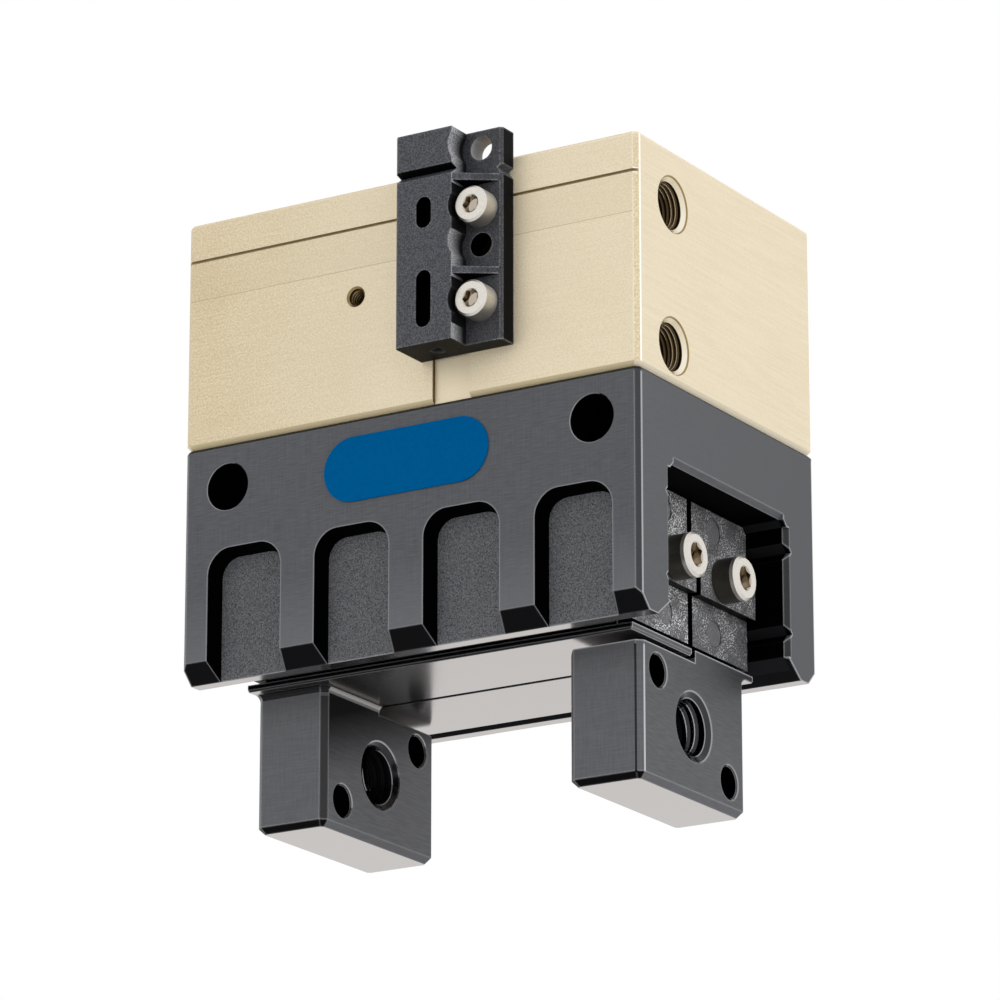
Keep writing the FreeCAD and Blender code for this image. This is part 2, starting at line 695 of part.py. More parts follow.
def jaw_body():
    """The toothed carriage, shorter than its bottom flange by the end caps."""
    x, inner, wall = JAW_BODY_LENGTH / 2, JAW_SPLIT / 2, CHANNEL_HALF_WIDTH - GUIDE_GAP
    c = CHANNEL_CORNER
    outline = [(inner, JAW_BOTTOM), (inner, JAW_TOP), (wall - c, JAW_TOP),
               (wall, JAW_TOP - c), (wall, JAW_BOTTOM)]
    teeth = [prism_x(tooth_outline(wall, level), -x, x) for level in TOOTH_LEVELS]
    return prism_x(outline, -x, x).fuse(teeth)


def jaw_flange():
    """The long bottom strip, its free lower edges broken."""
    half = JAW_LENGTH / 2
    strip = box(-half, half, JAW_SPLIT / 2, JAW_FLANGE_HALF_WIDTH,
                JAW_BOTTOM, JAW_BOTTOM + JAW_FLANGE_THICKNESS)
    free = [edge for edge in edges_at(strip, JAW_BOTTOM)
            if edge.CenterOfMass.y > JAW_FLANGE_HALF_WIDTH - 1e-6 or edge.CenterOfMass.x < -half + 1e-6]
    return strip.makeChamfer(JAW_FLANGE_CHAMFER, free)


def finger_block():
    outer, depth, c = JAW_LENGTH / 2, FINGER_HALF_DEPTH, FINGER_CHAMFER
    inner = outer - FINGER_THICKNESS
    outline = [(inner + c, -depth), (outer - c, -depth), (outer, -depth + c), (outer, depth - c),
               (outer - c, depth), (inner + c, depth), (inner, depth - c), (inner, -depth + c)]
    bottom = JAW_BOTTOM - FINGER_HEIGHT
    block = prism_z(outline, bottom, JAW_BOTTOM)
    block = block.makeChamfer(c, edges_at(block, bottom))
    passing = box(inner - CUT, outer + CUT, -depth - CUT, JAW_SPLIT / 2,
                  JAW_BOTTOM - FINGER_UNDERPASS, JAW_BOTTOM)
    block = block.cut(passing)
    crown = [edge for edge in edges_at(block, JAW_BOTTOM - FINGER_UNDERPASS)
             if edge.CenterOfMass.x < inner + 1e-6]
    return block.makeFillet(FINGER_CROWN, crown)


def finger_root_edges(jaw):
    """The inner corners where the finger springs from its own flange."""
    inner, depth = JAW_LENGTH / 2 - FINGER_THICKNESS, FINGER_HALF_DEPTH
    found = []
    for edge in edges_at(jaw, JAW_BOTTOM):
        middle = edge.CenterOfMass
        inside = middle.x > inner - 1e-6 and JAW_SPLIT / 2 + 1e-6 < middle.y < depth + 1e-6
        if inside and middle.x < JAW_LENGTH / 2 - 1e-6:
            found.append(edge)
    return found


def finger_tools():
    tools = []
    outer = JAW_LENGTH / 2
    inner = outer - FINGER_THICKNESS
    z = JAW_BOTTOM - FINGER_HOLE_DROP
    tools.append(cylinder(FINGER_THREAD_RADIUS, vec(inner - CUT, 0, z), RIGHT, FINGER_THICKNESS + 2 * CUT))
    wide = FINGER_DOWEL_RADIUS + FINGER_DOWEL_CHAMFER
    for x, direction in ((inner, RIGHT), (outer, -RIGHT)):
        tools.append(funnel(FINGER_MOUTH_RADIUS, FINGER_THREAD_RADIUS, vec(x, 0, z), direction,
                            FINGER_MOUTH_DEPTH))
        for side in (-1, 1):
            mouth = vec(x, side * FINGER_DOWEL_ACROSS, z - side * FINGER_DOWEL_RISE)
            tools.append(cylinder(FINGER_DOWEL_RADIUS, mouth, direction, FINGER_THICKNESS))
            tools.append(funnel(wide, FINGER_DOWEL_RADIUS, mouth, direction, FINGER_DOWEL_CHAMFER))
    return tools


def hook_room():
    """The pocket for the hook plate and the T groove for its rib, open at the jaw's top."""
    half, gap = HOOK_WIDTH / 2, HOOK_GAP
    above = JAW_TOP + CUT
    deep = max(HOOK_THICKNESS / 2, ROD_RADIUS) + gap
    floor = HOOK_BOTTOM - POCKET_GAP
    pocket = box(-half - POCKET_GAP - JAW_STROKE, half + POCKET_GAP, 0, deep, floor, above)
    groove = hook_rib(1, HOOK_BOTTOM + HOOK_RIB_MARGIN - POCKET_GAP, above, gap)
    return [pocket, groove]


def cap_screw_tools():
    tools = []
    for side in (-1, 1):
        mouth = vec(side * JAW_BODY_LENGTH / 2, CAP_SCREW_Y, CAP_SCREW_LEVEL)
        tools.append(cylinder(CAP_SCREW_SIZE / 2 + THREAD_GAP, mouth, -side * RIGHT, CAP_SCREW_LENGTH))
    return tools


def make_rear_jaw():
    jaw = jaw_body().fuse([jaw_flange(), finger_block()]).removeSplitter()
    jaw = jaw.makeFillet(FINGER_FILLET, finger_root_edges(jaw))
    return cut_all(jaw, hook_room() + finger_tools() + cap_screw_tools())


def make_rear_cap(side):
    """A moulded end cap with a thicker band for its screw and two round ejector marks."""
    seat = JAW_BODY_LENGTH / 2
    y0, y1 = CAP_SPLIT / 2, CHANNEL_HALF_WIDTH - CAP_SIDE_GAP
    z0, z1 = JAW_BOTTOM + JAW_FLANGE_THICKNESS + CAP_LIFT, JAW_TOP
    c = CHANNEL_CORNER
    outline = [(y0, z0), (y0, z1), (y1 - c, z1), (y1, z1 - c), (y1, z0)]
    plate = prism_x(outline, seat, seat + CAP_THICKNESS)
    band_top = CHANNEL_TOP - CAP_BAND_DROP
    band = box(seat, seat + CAP_THICKNESS + CAP_BAND, y0, y1, band_top - CAP_BAND_HEIGHT, band_top)
    tools = [cylinder(CAP_SCREW_SIZE / 2 + SCREW_GAP, vec(seat - CUT, CAP_SCREW_Y, CAP_SCREW_LEVEL), RIGHT,
                      CAP_THICKNESS + CAP_BAND + 2 * CUT)]
    for step in (-CAP_MARK_STEP, CAP_MARK_STEP):
        mark = vec(seat + CAP_THICKNESS, CAP_SCREW_Y, CAP_SCREW_LEVEL + step)
        tools.append(cylinder(CAP_MARK_RADIUS, mark, -RIGHT, CAP_MARK_DEPTH))
    cap = cut_all(plate.fuse(band), tools)
    if side < 0:
        cap = cap.mirror(vec(0, 0, 0), RIGHT)
    return cap


def make_rear_cap_screws():
    seat = JAW_BODY_LENGTH / 2 + CAP_THICKNESS + CAP_BAND
    screw = cap_screw(CAP_SCREW_SIZE, CAP_SCREW_LENGTH)
    return Part.makeCompound([placed(screw, vec(side * seat, CAP_SCREW_Y, CAP_SCREW_LEVEL), side * RIGHT)
                              for side in (-1, 1)])


# Sensor bracket and its screws

def bracket_columns():
    """The left edge, the edge of the thick plate and the right edge."""
    return BRACKET_LEFT, BRACKET_LEFT + BRACKET_PLATE_WIDTH, BRACKET_LEFT + BRACKET_WIDTH


def sensor_bore_place():
    return BRACKET_LEFT + BRACKET_SLOT_INSET, FRONT - SENSOR_BORE_BACK


def bracket_form():
    left, step, right = bracket_columns()
    bottom = BRACKET_TOP - BRACKET_HEIGHT
    thick, thin, e = FRONT - BRACKET_THICKNESS, FRONT - BRACKET_LEDGE_THICKNESS, BRACKET_EDGE
    outline = [(left, FRONT), (left, thick + e), (left + e, thick), (step, thick), (step, thin),
               (right - e, thin), (right, thin + e), (right, FRONT)]
    form = prism_z(outline, bottom, BRACKET_TOP)
    scallop_x = right - BRACKET_HOLE_INSET
    tools = []
    for drop in BRACKET_HOLE_DROPS + BRACKET_SCREW_DROPS:
        tools.append(cylinder(BRACKET_SCALLOP, vec(scallop_x, thick - CUT, BRACKET_TOP - drop), BACK,
                              thin - thick + CUT))
    form = form.cut(tools)
    ribs = []
    gusset = [(step, thin), (step, thick + BRACKET_RIB_SINK), (right - e, thin)]
    for drop in BRACKET_RIB_DROPS:
        top = BRACKET_TOP - drop
        ribs.append(prism_z(gusset, top - BRACKET_RIB_HEIGHT, top))
    return form.fuse(ribs)


def bracket_notches():
    left, step, right = bracket_columns()
    thick = FRONT - BRACKET_THICKNESS
    top = BRACKET_TOP - BRACKET_NOTCH_DROP + BRACKET_NOTCH_HEIGHT / 2
    bottom = top - BRACKET_NOTCH_HEIGHT
    apex = top - BRACKET_NOTCH_HEIGHT * 0.3
    front = prism_x([(thick - CUT, top), (thick, top), (thick + BRACKET_NOTCH_DEPTH, apex),
                     (thick, bottom), (thick - CUT, bottom)], left - CUT, step)
    side = prism_y([(right + CUT, top), (right, top), (right - BRACKET_NOTCH_DEPTH / 2, apex),
                    (right, bottom), (right + CUT, bottom)], FRONT - BRACKET_LEDGE_THICKNESS - CUT, FRONT)
    return [front, side]


def make_sensor_bracket():
    left, step, right = bracket_columns()
    thick, thin = FRONT - BRACKET_THICKNESS, FRONT - BRACKET_LEDGE_THICKNESS
    tools = bracket_notches()
    hole_x = right - BRACKET_HOLE_INSET
    for drop in BRACKET_HOLE_DROPS:
        tools.append(cylinder(BRACKET_HOLE_RADIUS, vec(hole_x, thin - CUT, BRACKET_TOP - drop), BACK,
                              BRACKET_LEDGE_THICKNESS + 2 * CUT))
    for x, z in bracket_screw_places():
        tools.append(cylinder(BRACKET_SCREW_SIZE / 2 + SCREW_GAP, vec(x, thin - CUT, z), BACK,
                              BRACKET_LEDGE_THICKNESS + 2 * CUT))
    bore_x, bore_y = sensor_bore_place()
    for drop, height in BRACKET_SLOTS:
        tools.append(slot_y(bore_x, BRACKET_TOP - drop, height, BRACKET_SLOT_WIDTH, thick - CUT, bore_y))
    bottom = BRACKET_TOP - BRACKET_HEIGHT
    mouth = vec(bore_x, bore_y, bottom)
    tools.append(cylinder(SENSOR_BORE_RADIUS + THREAD_GAP, mouth, UP, SENSOR_BORE_DEPTH))
    return cut_all(bracket_form(), tools)


def make_bracket_screws():
    screw = cap_screw(BRACKET_SCREW_SIZE, BRACKET_SCREW_LENGTH)
    seat = FRONT - BRACKET_LEDGE_THICKNESS
    return Part.makeCompound([placed(screw, vec(x, seat, z), -BACK) for x, z in bracket_screw_places()])


def make_bracket_grub_screw():
    x, y = sensor_bore_place()
    low = BRACKET_TOP - BRACKET_HEIGHT + GRUB_SCREW_SINK
    body = cylinder(SENSOR_BORE_RADIUS, vec(x, y, low), UP, GRUB_SCREW_LENGTH)
    socket = hexagon(GRUB_SOCKET, low - CUT, low + GRUB_SCREW_LENGTH / 2)
    socket.translate(vec(x, y, 0))
    return cut_all(body, [socket])


# Plain label plate, long housing screws and locating dowels

def make_label_plate():
    radius = LABEL_HEIGHT / 2
    reach = LABEL_LENGTH / 2 - radius
    z = JOINT - LABEL_DROP
    back, front = FRONT, FRONT - LABEL_THICKNESS
    middle = box(LABEL_X - reach, LABEL_X + reach, front, back, z - radius, z + radius)
    ends = [cylinder(radius, vec(LABEL_X + side * reach, back, z), -BACK, LABEL_THICKNESS)
            for side in (-1, 1)]
    return middle.fuse(ends).removeSplitter()


def make_housing_screws():
    seat = -HOUSING_SCREW_SIZE - HOUSING_SCREW_SINK
    screw = cap_screw(HOUSING_SCREW_SIZE, seat - JOINT + HOUSING_SCREW_GRIP)
    return Part.makeCompound([placed(screw, vec(x, y, seat), UP) for x, y in housing_screw_places()])


def make_locating_dowels():
    low = JOINT - DOWEL_LENGTH / 2
    return Part.makeCompound([cylinder(DOWEL_RADIUS, vec(x, y, low), UP, DOWEL_LENGTH)
                              for x, y in dowel_places()])


# All pieces by name

def make_pieces():
    rear = {
        "jaw": make_rear_jaw(),
        "jaw_cap_left": make_rear_cap(-1),
        "jaw_cap_right": make_rear_cap(1),
        "jaw_cap_screws": make_rear_cap_screws(),
    }
    swapped = {"jaw_cap_left": "jaw_cap_right", "jaw_cap_right": "jaw_cap_left"}
    pieces = {
        "cylinder_body": make_cylinder_body(),
        "cylinder_base": make_cylinder_base(),
        "base_seal": make_base_seal(),
        "rod_seal": make_rod_seal(),
        "rod_bush": make_rod_bush(),
        "piston": make_piston(),
        "piston_seal": make_piston_seal(),
        "piston_magnet": make_piston_magnet(),
        "piston_screw": make_piston_screw(),
        "wedge_hook": make_wedge_hook(),
        "guide_housing": make_guide_housing(),
        "housing_screws": make_housing_screws(),
        "locating_dowels": make_locating_dowels(),
        "sensor_bracket": make_sensor_bracket(),
        "bracket_screws": make_bracket_screws(),
        "bracket_grub_screw": make_bracket_grub_screw(),
        "label_plate": make_label_plate(),
    }
    for name, shape in rear.items():
        pieces["rear_" + name] = shape
        pieces["front_" + swapped.get(name, name)] = turned(shape, 180)
    return pieces


os.makedirs("parts", exist_ok=True)
for piece_name, piece in make_pieces().items():
    piece.exportStep("parts/%s.step" % piece_name)
    print("%-24s solids %d  volume %9.1f  valid %s"
          % (piece_name, len(piece.Solids), piece.Volume, piece.isValid()))
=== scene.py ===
# %% [markdown]
# # A pneumatic parallel gripper
# The gripper is a gold cylinder body over a black guide housing, with two jaws that slide apart
# underneath. The solids come from a CAD model, so Blender's work here is what CAD leaves out:
# surface finishes, screw threads, light and a camera. The solids are loaded once and stay fixed.

# %% Load the CAD model
import bpy
import bmesh
import math
from functools import partial
from mathutils import Matrix, Vector


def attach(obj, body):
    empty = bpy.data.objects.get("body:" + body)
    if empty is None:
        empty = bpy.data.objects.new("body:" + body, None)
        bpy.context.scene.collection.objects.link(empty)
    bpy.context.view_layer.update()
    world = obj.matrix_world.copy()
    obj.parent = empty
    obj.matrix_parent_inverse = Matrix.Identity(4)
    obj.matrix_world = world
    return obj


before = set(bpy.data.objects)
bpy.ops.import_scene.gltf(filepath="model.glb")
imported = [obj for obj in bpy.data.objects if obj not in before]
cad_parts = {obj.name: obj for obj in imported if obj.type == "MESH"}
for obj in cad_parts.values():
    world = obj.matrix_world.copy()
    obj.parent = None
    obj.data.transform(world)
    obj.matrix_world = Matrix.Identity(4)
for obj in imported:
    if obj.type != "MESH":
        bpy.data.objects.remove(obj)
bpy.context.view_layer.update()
MM = 0.001

# %% [markdown]
# ## Camera
# The view is from slightly below, so that the jaws' undersides show. A long lens from more than a
# metre away keeps the vertical edges nearly parallel, as a product photographer would want them.
# The camera is placed by an azimuth, an elevation and a distance from the mounting face's centre,
# then pushed sideways in its own plane to frame the part.

# %% Place the camera
AZIMUTH, ELEVATION = math.radians(31.67), math.radians(-17.23)
DISTANCE_MM, FOCAL_PX, IMAGE_PX = 1100.6, 5710.0, 1000
PUSH_RIGHT_MM, PUSH_UP_MM = 0.08, -52.02
SENSOR_MM, FAR_CLIP_M = 36, 20

back = Vector((math.sin(AZIMUTH) * math.cos(ELEVATION), -math.cos(AZIMUTH) * math.cos(ELEVATION),
               math.sin(ELEVATION)))
right = Vector((math.cos(AZIMUTH), math.sin(AZIMUTH), 0))
up = back.cross(right)
camera_data = bpy.data.cameras.new("camera")
camera_data.sensor_width = SENSOR_MM
camera_data.lens = SENSOR_MM * FOCAL_PX / IMAGE_PX
camera_data.clip_end = FAR_CLIP_M
camera = bpy.data.objects.new("camera", camera_data)
bpy.context.scene.collection.objects.link(camera)
stand = (back * DISTANCE_MM + right * PUSH_RIGHT_MM + up * PUSH_UP_MM) * MM
turn = Matrix((right, up, back)).transposed().to_4x4()
camera.matrix_world = Matrix.Translation(stand) @ turn
bpy.context.scene.camera = camera
print("lens %.1f mm, camera at %s" % (camera_data.lens, [round(v, 3) for v in stand]))

# %% [markdown]
# ## Three helpers for materials
# Colours are easiest to read as the hex values of a paint program. Those are sRGB values, and
# shaders work in linear light, so one function converts them. A second function adds a node, sets
# its options and fills its inputs with numbers or with links from other nodes. A third starts an
# empty material, so that every node in it is there for a reason.

# %% Colour and node helpers
def hex_colour(code):
    """An sRGB hex value in linear light, with full opacity."""
    values = [int(code[i:i + 2], 16) / 255 for i in (1, 3, 5)]
    linear = [v / 12.92 if v <= 0.04045 else ((v + 0.055) / 1.055) ** 2.4 for v in values]
    return (*linear, 1.0)


def node(tree, kind, inputs=None, **settings):
    """Adds one shader node; an input takes a value, a socket or another node's first output in use."""
    made = tree.nodes.new("ShaderNode" + kind)
    for name, value in settings.items():
        setattr(made, name, value)
    for name, value in (inputs or {}).items():
        if isinstance(value, bpy.types.Node):
            value = next(socket for socket in value.outputs if socket.enabled)
        if isinstance(value, bpy.types.NodeSocket):
            tree.links.new(value, made.inputs[name])
        else:
            made.inputs[name].default_value = value
    return made


def start_material(name):
    """A new material and the node function bound to its tree."""
    material = bpy.data.materials.new(name)
    material.use_nodes = True
    material.node_tree.nodes.clear()
    return material, partial(node, material.node_tree)


print("gold in linear light:", [round(v, 3) for v in hex_colour("#e3d5b7")])

# %% [markdown]
# ## Studio
# Product pictures like this are taken in a white room of light. The world is white wherever the
# camera or a reflection looks, and gentler as a light source, so the part keeps its shading.

# %% World
WORLD_LIGHT = 0.62
scene = bpy.context.scene
scene.view_settings.view_transform = "Standard"
world = bpy.data.worlds.new("white room")
scene.world = world
world.use_nodes = True
world.node_tree.nodes.clear()
add = partial(node, world.node_tree)
rays = add("LightPath").outputs
seen = add("Math", {0: rays["Is Camera Ray"], 1: rays["Is Glossy Ray"]}, operation="MAXIMUM")
seen = add("Math", {0: seen, 1: rays["Is Transmission Ray"]}, operation="MAXIMUM")
level = add("MapRange", {"Value": seen, "To Min": WORLD_LIGHT, "To Max": 1.0})
room = add("Background", {"Color": (1, 1, 1, 1), "Strength": level})
add("OutputWorld", {"Surface": room})
print("world light", WORLD_LIGHT)

# %% [markdown]
# ## Floor
# The floor is a pale round table top well below the part. A plane without an end would also do, but
# the edge of a table lets the undersides mirror the bright room beyond it, while light still comes
# back softly from the table itself.

# %% Table top
FLOOR_Z, FLOOR_RADIUS, FLOOR_SEGMENTS = -0.62, 0.95, 96
FLOOR_LIFT = 0.7

table = bmesh.new()
bmesh.ops.create_circle(table, cap_ends=True, segments=FLOOR_SEGMENTS, radius=FLOOR_RADIUS)
bmesh.ops.translate(table, vec=(0, 0, FLOOR_Z), verts=table.verts)
table_mesh = bpy.data.meshes.new("floor")
table.to_mesh(table_mesh)
table.free()
floor = bpy.data.objects.new("floor", table_mesh)
scene.collection.objects.link(floor)

floor_paint, add = start_material("pale matt floor")
rays = add("LightPath").outputs
matt = add("BsdfDiffuse", {"Color": hex_colour("#e6e6e6")})
white = add("Emission", {"Color": (1, 1, 1, 1), "Strength": FLOOR_LIFT})
lifted = add("AddShader", {0: matt, 1: white})
shown = add("MixShader", {0: rays["Is Camera Ray"], 1: matt, 2: lifted})
add("OutputMaterial", {"Surface": shown})
floor.data.materials.append(floor_paint)
print("floor at", FLOOR_Z, "m, radius", FLOOR_RADIUS, "m")

# %% [markdown]
# ## Lamps
# Three large soft boxes shape the part. The strongest stands to the right, so that the end face with
# the ports is lighter than the front. A wide one in front lifts the black housing, and one overhead
# lights the top. They are hidden from reflections, which see the white room instead.

# %% Soft boxes
LAMP_TARGET = Vector((0, 0, -0.05))


def soft_box(name, toward, distance, size, power):
    """A rectangular lamp in a direction from the part; distance and size in metres, power in watts."""
    lamp = bpy.data.lights.new(name, "AREA")
    lamp.shape = "RECTANGLE"
    lamp.size, lamp.size_y = size
    lamp.energy = power
    holder = bpy.data.objects.new(name, lamp)
    scene.collection.objects.link(holder)
    direction = Vector(toward).normalized()
    holder.location = LAMP_TARGET + direction * distance
    holder.rotation_euler = direction.to_track_quat("Z", "Y").to_euler()
    holder.visible_glossy = False


soft_box("key_right", toward=(0.95, -0.10, 0.35), distance=1.2, size=(0.9, 1.2), power=8.2)
soft_box("fill_front", toward=(-0.30, -0.95, 0.15), distance=1.4, size=(1.8, 1.3), power=5.9)
soft_box("top", toward=(0.1, 0.1, 1.0), distance=1.3, size=(1.2, 1.2), power=6.0)

# %% [markdown]
# ## Masks
# A finish on a real part isn't the same all over: ground faces shine. Here light and shade are painted
# too, with bright edges and dark bores. Those differences follow the surface itself, so each mask asks
# where a point is on the object, in millimetres, or which way it faces. Painting them by hand would also
# work, but a range in millimetres can be read off a drawing and stays with the solid.

# %% Mask helpers
FAR = 1000.0
# A facing component is 1 or -1 where a face is square to that axis, and 0 where it runs along it.
# The ranges leave room for rounding.
SQUARE, SQUARE_BACK, SLANTED, FLAT_DOWN = (0.9, 1.1), (-1.1, -0.9), (0.3, 0.9), (-1.1, -0.97)


def surface(add):
    """Where a point is, in mm, as a vector and split into X, Y and Z, and which way it faces."""
    coordinates = add("TexCoord").outputs
    where = add("VectorMath", {0: coordinates["Object"], "Scale": 1 / MM}, operation="SCALE")
    place = add("SeparateXYZ", {0: where}).outputs
    facing = add("SeparateXYZ", {0: coordinates["Normal"]}).outputs
    return where, place, facing


def between(add, value, low, high):
    """1 where a value lies between two limits, else 0."""
    return add("Math", {0: value, 1: (low + high) / 2, 2: (high - low) / 2}, operation="COMPARE")


def all_of(add, *masks):
    """1 where every mask is 1; a number among them sets the strength."""
    result = masks[0]
    for mask in masks[1:]:
        result = add("Math", {0: result, 1: mask}, operation="MULTIPLY")
    return result


def any_of(add, *masks):
    """1 where at least one mask is 1."""
    result = masks[0]
    for mask in masks[1:]:
        result = add("Math", {0: result, 1: mask}, operation="MAXIMUM")
    return result


def none_of(add, *masks):
    """1 where every mask is 0."""
    return add("Math", {0: 1.0, 1: any_of(add, *masks)}, operation="SUBTRACT")


print("mask helpers ready")

# %% [markdown]
# ## Bores and edges
# Two more masks follow the shape. A bore is everything within a radius of an axis. The edge mask looks
# a short way into the solid: near an outer edge that short look soon leaves the solid again, and on a
# flat face it doesn't. A highlight on a real edge is narrow, so the look is a third of a millimetre
# long; the materials paint their edge highlights with it.

# %% Bore and edge helpers
EDGE_WIDTH = 0.35
# The share of the short look that stays in the solid, on a flat face and on an edge
FLAT_LOOK, EDGE_LOOK = 0.96, 0.7


def in_bores(add, where, along, centres, radius):
    """1 inside any of some equal cylinders that run along one axis of the object, else 0."""
    flat = [0.0 if axis == along else 1.0 for axis in "XYZ"]
    across = add("VectorMath", {0: where, 1: flat}, operation="MULTIPLY")
    inside = []
    for centre in centres:
        spot = [value * keep for value, keep in zip(centre, flat)]
        away = add("VectorMath", {0: across, 1: spot}, operation="DISTANCE")
        inside.append(add("Math", {0: away, 1: radius}, operation="LESS_THAN"))
    return any_of(add, *inside)


def outer_edge(add, strength):
    """Falls from a strength on an outer edge to 0 within the edge's width."""
    look = add("AmbientOcclusion", {"Distance": EDGE_WIDTH * MM}, inside=True, only_local=True, samples=8)
    return add("MapRange", {"Value": look.outputs["AO"], "From Min": FLAT_LOOK, "From Max": EDGE_LOOK,
                            "To Max": strength})


print("edge width", EDGE_WIDTH, "mm")

# %% [markdown]
# ## Champagne anodised aluminium
# The cylinder body is milled, bead blasted and anodised. Blasting leaves a fine grain, milling leaves
# faint lines, and the dye gives a warm tint that is never quite even. An image of such metal could be
# wrapped round the body, but noise on the object's own coordinates needs no unwrapping and has no
# seams. The lines are a noise that is stretched along X, and along Y on the two end faces.

# %% Gold: grain, lines and tint
# The real grain and lines are too fine to show in the render, so they are drawn coarser.
GOLD_GRAIN, GOLD_LINE, GOLD_CLOUD = 0.32, 0.3, 14.0
LINE_STRETCH = 40

gold, add = start_material("champagne_anodised_aluminium")
where, place, facing = surface(add)
depth = add("Math", {0: place["Y"]}, operation="ABSOLUTE")
turn_x = add("Math", {0: facing["X"]}, operation="ABSOLUTE")
ends = between(add, turn_x, *SQUARE)
grain = add("TexNoise", {"Vector": where, "Scale": 1 / GOLD_GRAIN, "Detail": 3.0})
stretch = add("Mix", {"Factor": ends, "A": (1 / LINE_STRETCH, 1, 1), "B": (1, 1 / LINE_STRETCH, 1)},
              data_type="VECTOR")
drawn = add("VectorMath", {0: where, 1: stretch}, operation="MULTIPLY")
lines = add("TexNoise", {"Vector": drawn, "Scale": 1 / GOLD_LINE})
cloud = add("TexNoise", {"Vector": where, "Scale": 1 / GOLD_CLOUD})
shade = add("Mix", {"Factor": 0.2, "A": grain, "B": lines})
shade = add("Mix", {"Factor": 0.08, "A": shade, "B": cloud})
shade = add("MapRange", {"Value": shade, "From Min": 0.37, "From Max": 0.63})
tone = add("Mix", {"Factor": shade, "A": hex_colour("#c8b590"), "B": hex_colour("#e3d5b7")},
           data_type="RGBA")
streaks = add("MapRange", {"Value": lines, "From Min": 0.3, "From Max": 0.7})
end_tone = add("Mix", {"Factor": streaks, "A": hex_colour("#dfd3b9"), "B": hex_colour("#e5dac2")},
               data_type="RGBA")
print("gold grain", GOLD_GRAIN, "mm, lines", GOLD_LINE, "mm")

# %% [markdown]
# ### Gold: faces
# The end faces have their own milling streaks and are painted paler than the front, as light. The front
# is painted paler towards the right, as light. The band under the groove was milled in another pass and
# ends in a fine line. The groove is painted darker as shade, the bevel along the foot is painted lighter
# on the ends than on the front, and the floor of the cable lane is painted bright, both as light. Each
# place is a mask, and its colour is laid over the tint in turn, as a painter glazes one coat over another.

# %% Gold: front, band, groove and bevel
GROOVE_Z, GROOVE_DEPTH = (-8.03, -7.37), (32, 32.96)
BAND_Z, BAND_LINE_Z = (-15.7, -8.0), (-15.75, -15.6)
FOOT_Z, LANE_X, LANE_Y = (-45.6, -44.4), (5.9, 13.6), (-32.2, -31.8)

front = between(add, facing["Y"], *SQUARE_BACK)
# Painted light: the front is painted paler towards the right.
rightward = add("MapRange", {"Value": place["X"], "From Min": -44.0, "From Max": -6.0, "To Max": 0.4})
band = all_of(add, front, between(add, place["Z"], *BAND_Z), 0.06)
band_line = all_of(add, front, between(add, place["Z"], *BAND_LINE_Z), 0.5)
# Painted shade: the groove is painted darker.
groove = all_of(add, between(add, place["Z"], *GROOVE_Z), between(add, depth, *GROOVE_DEPTH),
                between(add, turn_x, -0.1, 0.9))
# Painted light: the foot bevel is painted lighter on the ends than on the front.
foot = all_of(add, between(add, facing["Z"], -0.95, -0.3), between(add, place["Z"], *FOOT_Z), 0.75)
foot_tone = add("Mix", {"Factor": between(add, turn_x, 0.3, 1.1), "A": hex_colour("#d8c8a0"),
                        "B": hex_colour("#f3ead3")}, data_type="RGBA")
# Painted light: the floor of the cable lane is painted bright where the bracket would shade it.
lane = all_of(add, between(add, place["X"], *LANE_X), between(add, place["Y"], *LANE_Y), 0.5)
# Painted light: the end faces are painted paler than the front; their streaks are milling marks.
for cover, colour in ((all_of(add, ends, 0.7), end_tone),
                      (all_of(add, front, rightward), hex_colour("#f6ebd2")),
                      (any_of(add, band, band_line), hex_colour("#9a865c")),
                      (groove, hex_colour("#b4a47e")),
                      (foot, foot_tone),
                      (lane, hex_colour("#fff0d0"))):
    tone = add("Mix", {"Factor": cover, "A": tone, "B": colour}, data_type="RGBA")
print("band from", BAND_Z[0], "to", GROOVE_Z[0], "mm")

# %% [markdown]
# ### Gold: holes
# Light hardly reaches the threads, the pin hole and the wall of the cable lane, so they are painted
# brown as shade. The bevelled mouths of the ports were cut last and shine; their downward part and a
# thin rim are painted darker as shade, and the crests of the first turns of a thread are painted light
# as highlights.

# %% Gold: threads, mouths and cable lane
PORTS, PORT_REACH, PORT_CREST = ((0, -20, -10.7), (0, -20, -38.3)), 5.75, 4.28
PORT_BORE_X, PORT_CREST_X = (30, 49.02), (46.4, 49.02)
PORT_MOUTH_X, PORT_RIM_X = (49.02, 49.97), (49.72, 49.97)
FRONT_HOLE, FRONT_RADII = (-11.4, 0, -21.3), (1.75, 2.2, 1.52)
FRONT_BORE_Y, FRONT_RIM_Y, FRONT_CREST_Y = (-32.6, 0), (-32.97, -32.6), (-32.6, -29.5)
PIN_HOLE, PIN_RADII, PIN_MOUTH_Y = (18.9, 0, -17.9), (2.4, 2.9), (-33.1, -25)
LANE_WALL_X, LANE_WALL_DEPTH = (5.5, 5.9), (25, 32.7)

ports = in_bores(add, where, "X", PORTS, PORT_REACH)
bores, mouth, port_rim = [all_of(add, ports, between(add, place["X"], *reach))
                          for reach in (PORT_BORE_X, PORT_MOUTH_X, PORT_RIM_X)]
front_bore, front_mouth, front_crest = [in_bores(add, where, "Y", (FRONT_HOLE,), radius)
                                        for radius in FRONT_RADII]
pin_bore, pin_mouth = [in_bores(add, where, "Y", (PIN_HOLE,), radius) for radius in PIN_RADII]
small = any_of(add, all_of(add, any_of(add, front_bore, pin_bore), between(add, place["Y"], *FRONT_BORE_Y)),
               all_of(add, pin_mouth, between(add, place["Y"], *PIN_MOUTH_Y)))
lane_wall = all_of(add, between(add, place["X"], *LANE_WALL_X), between(add, facing["X"], 0.8, 1.1),
                   between(add, depth, *LANE_WALL_DEPTH))
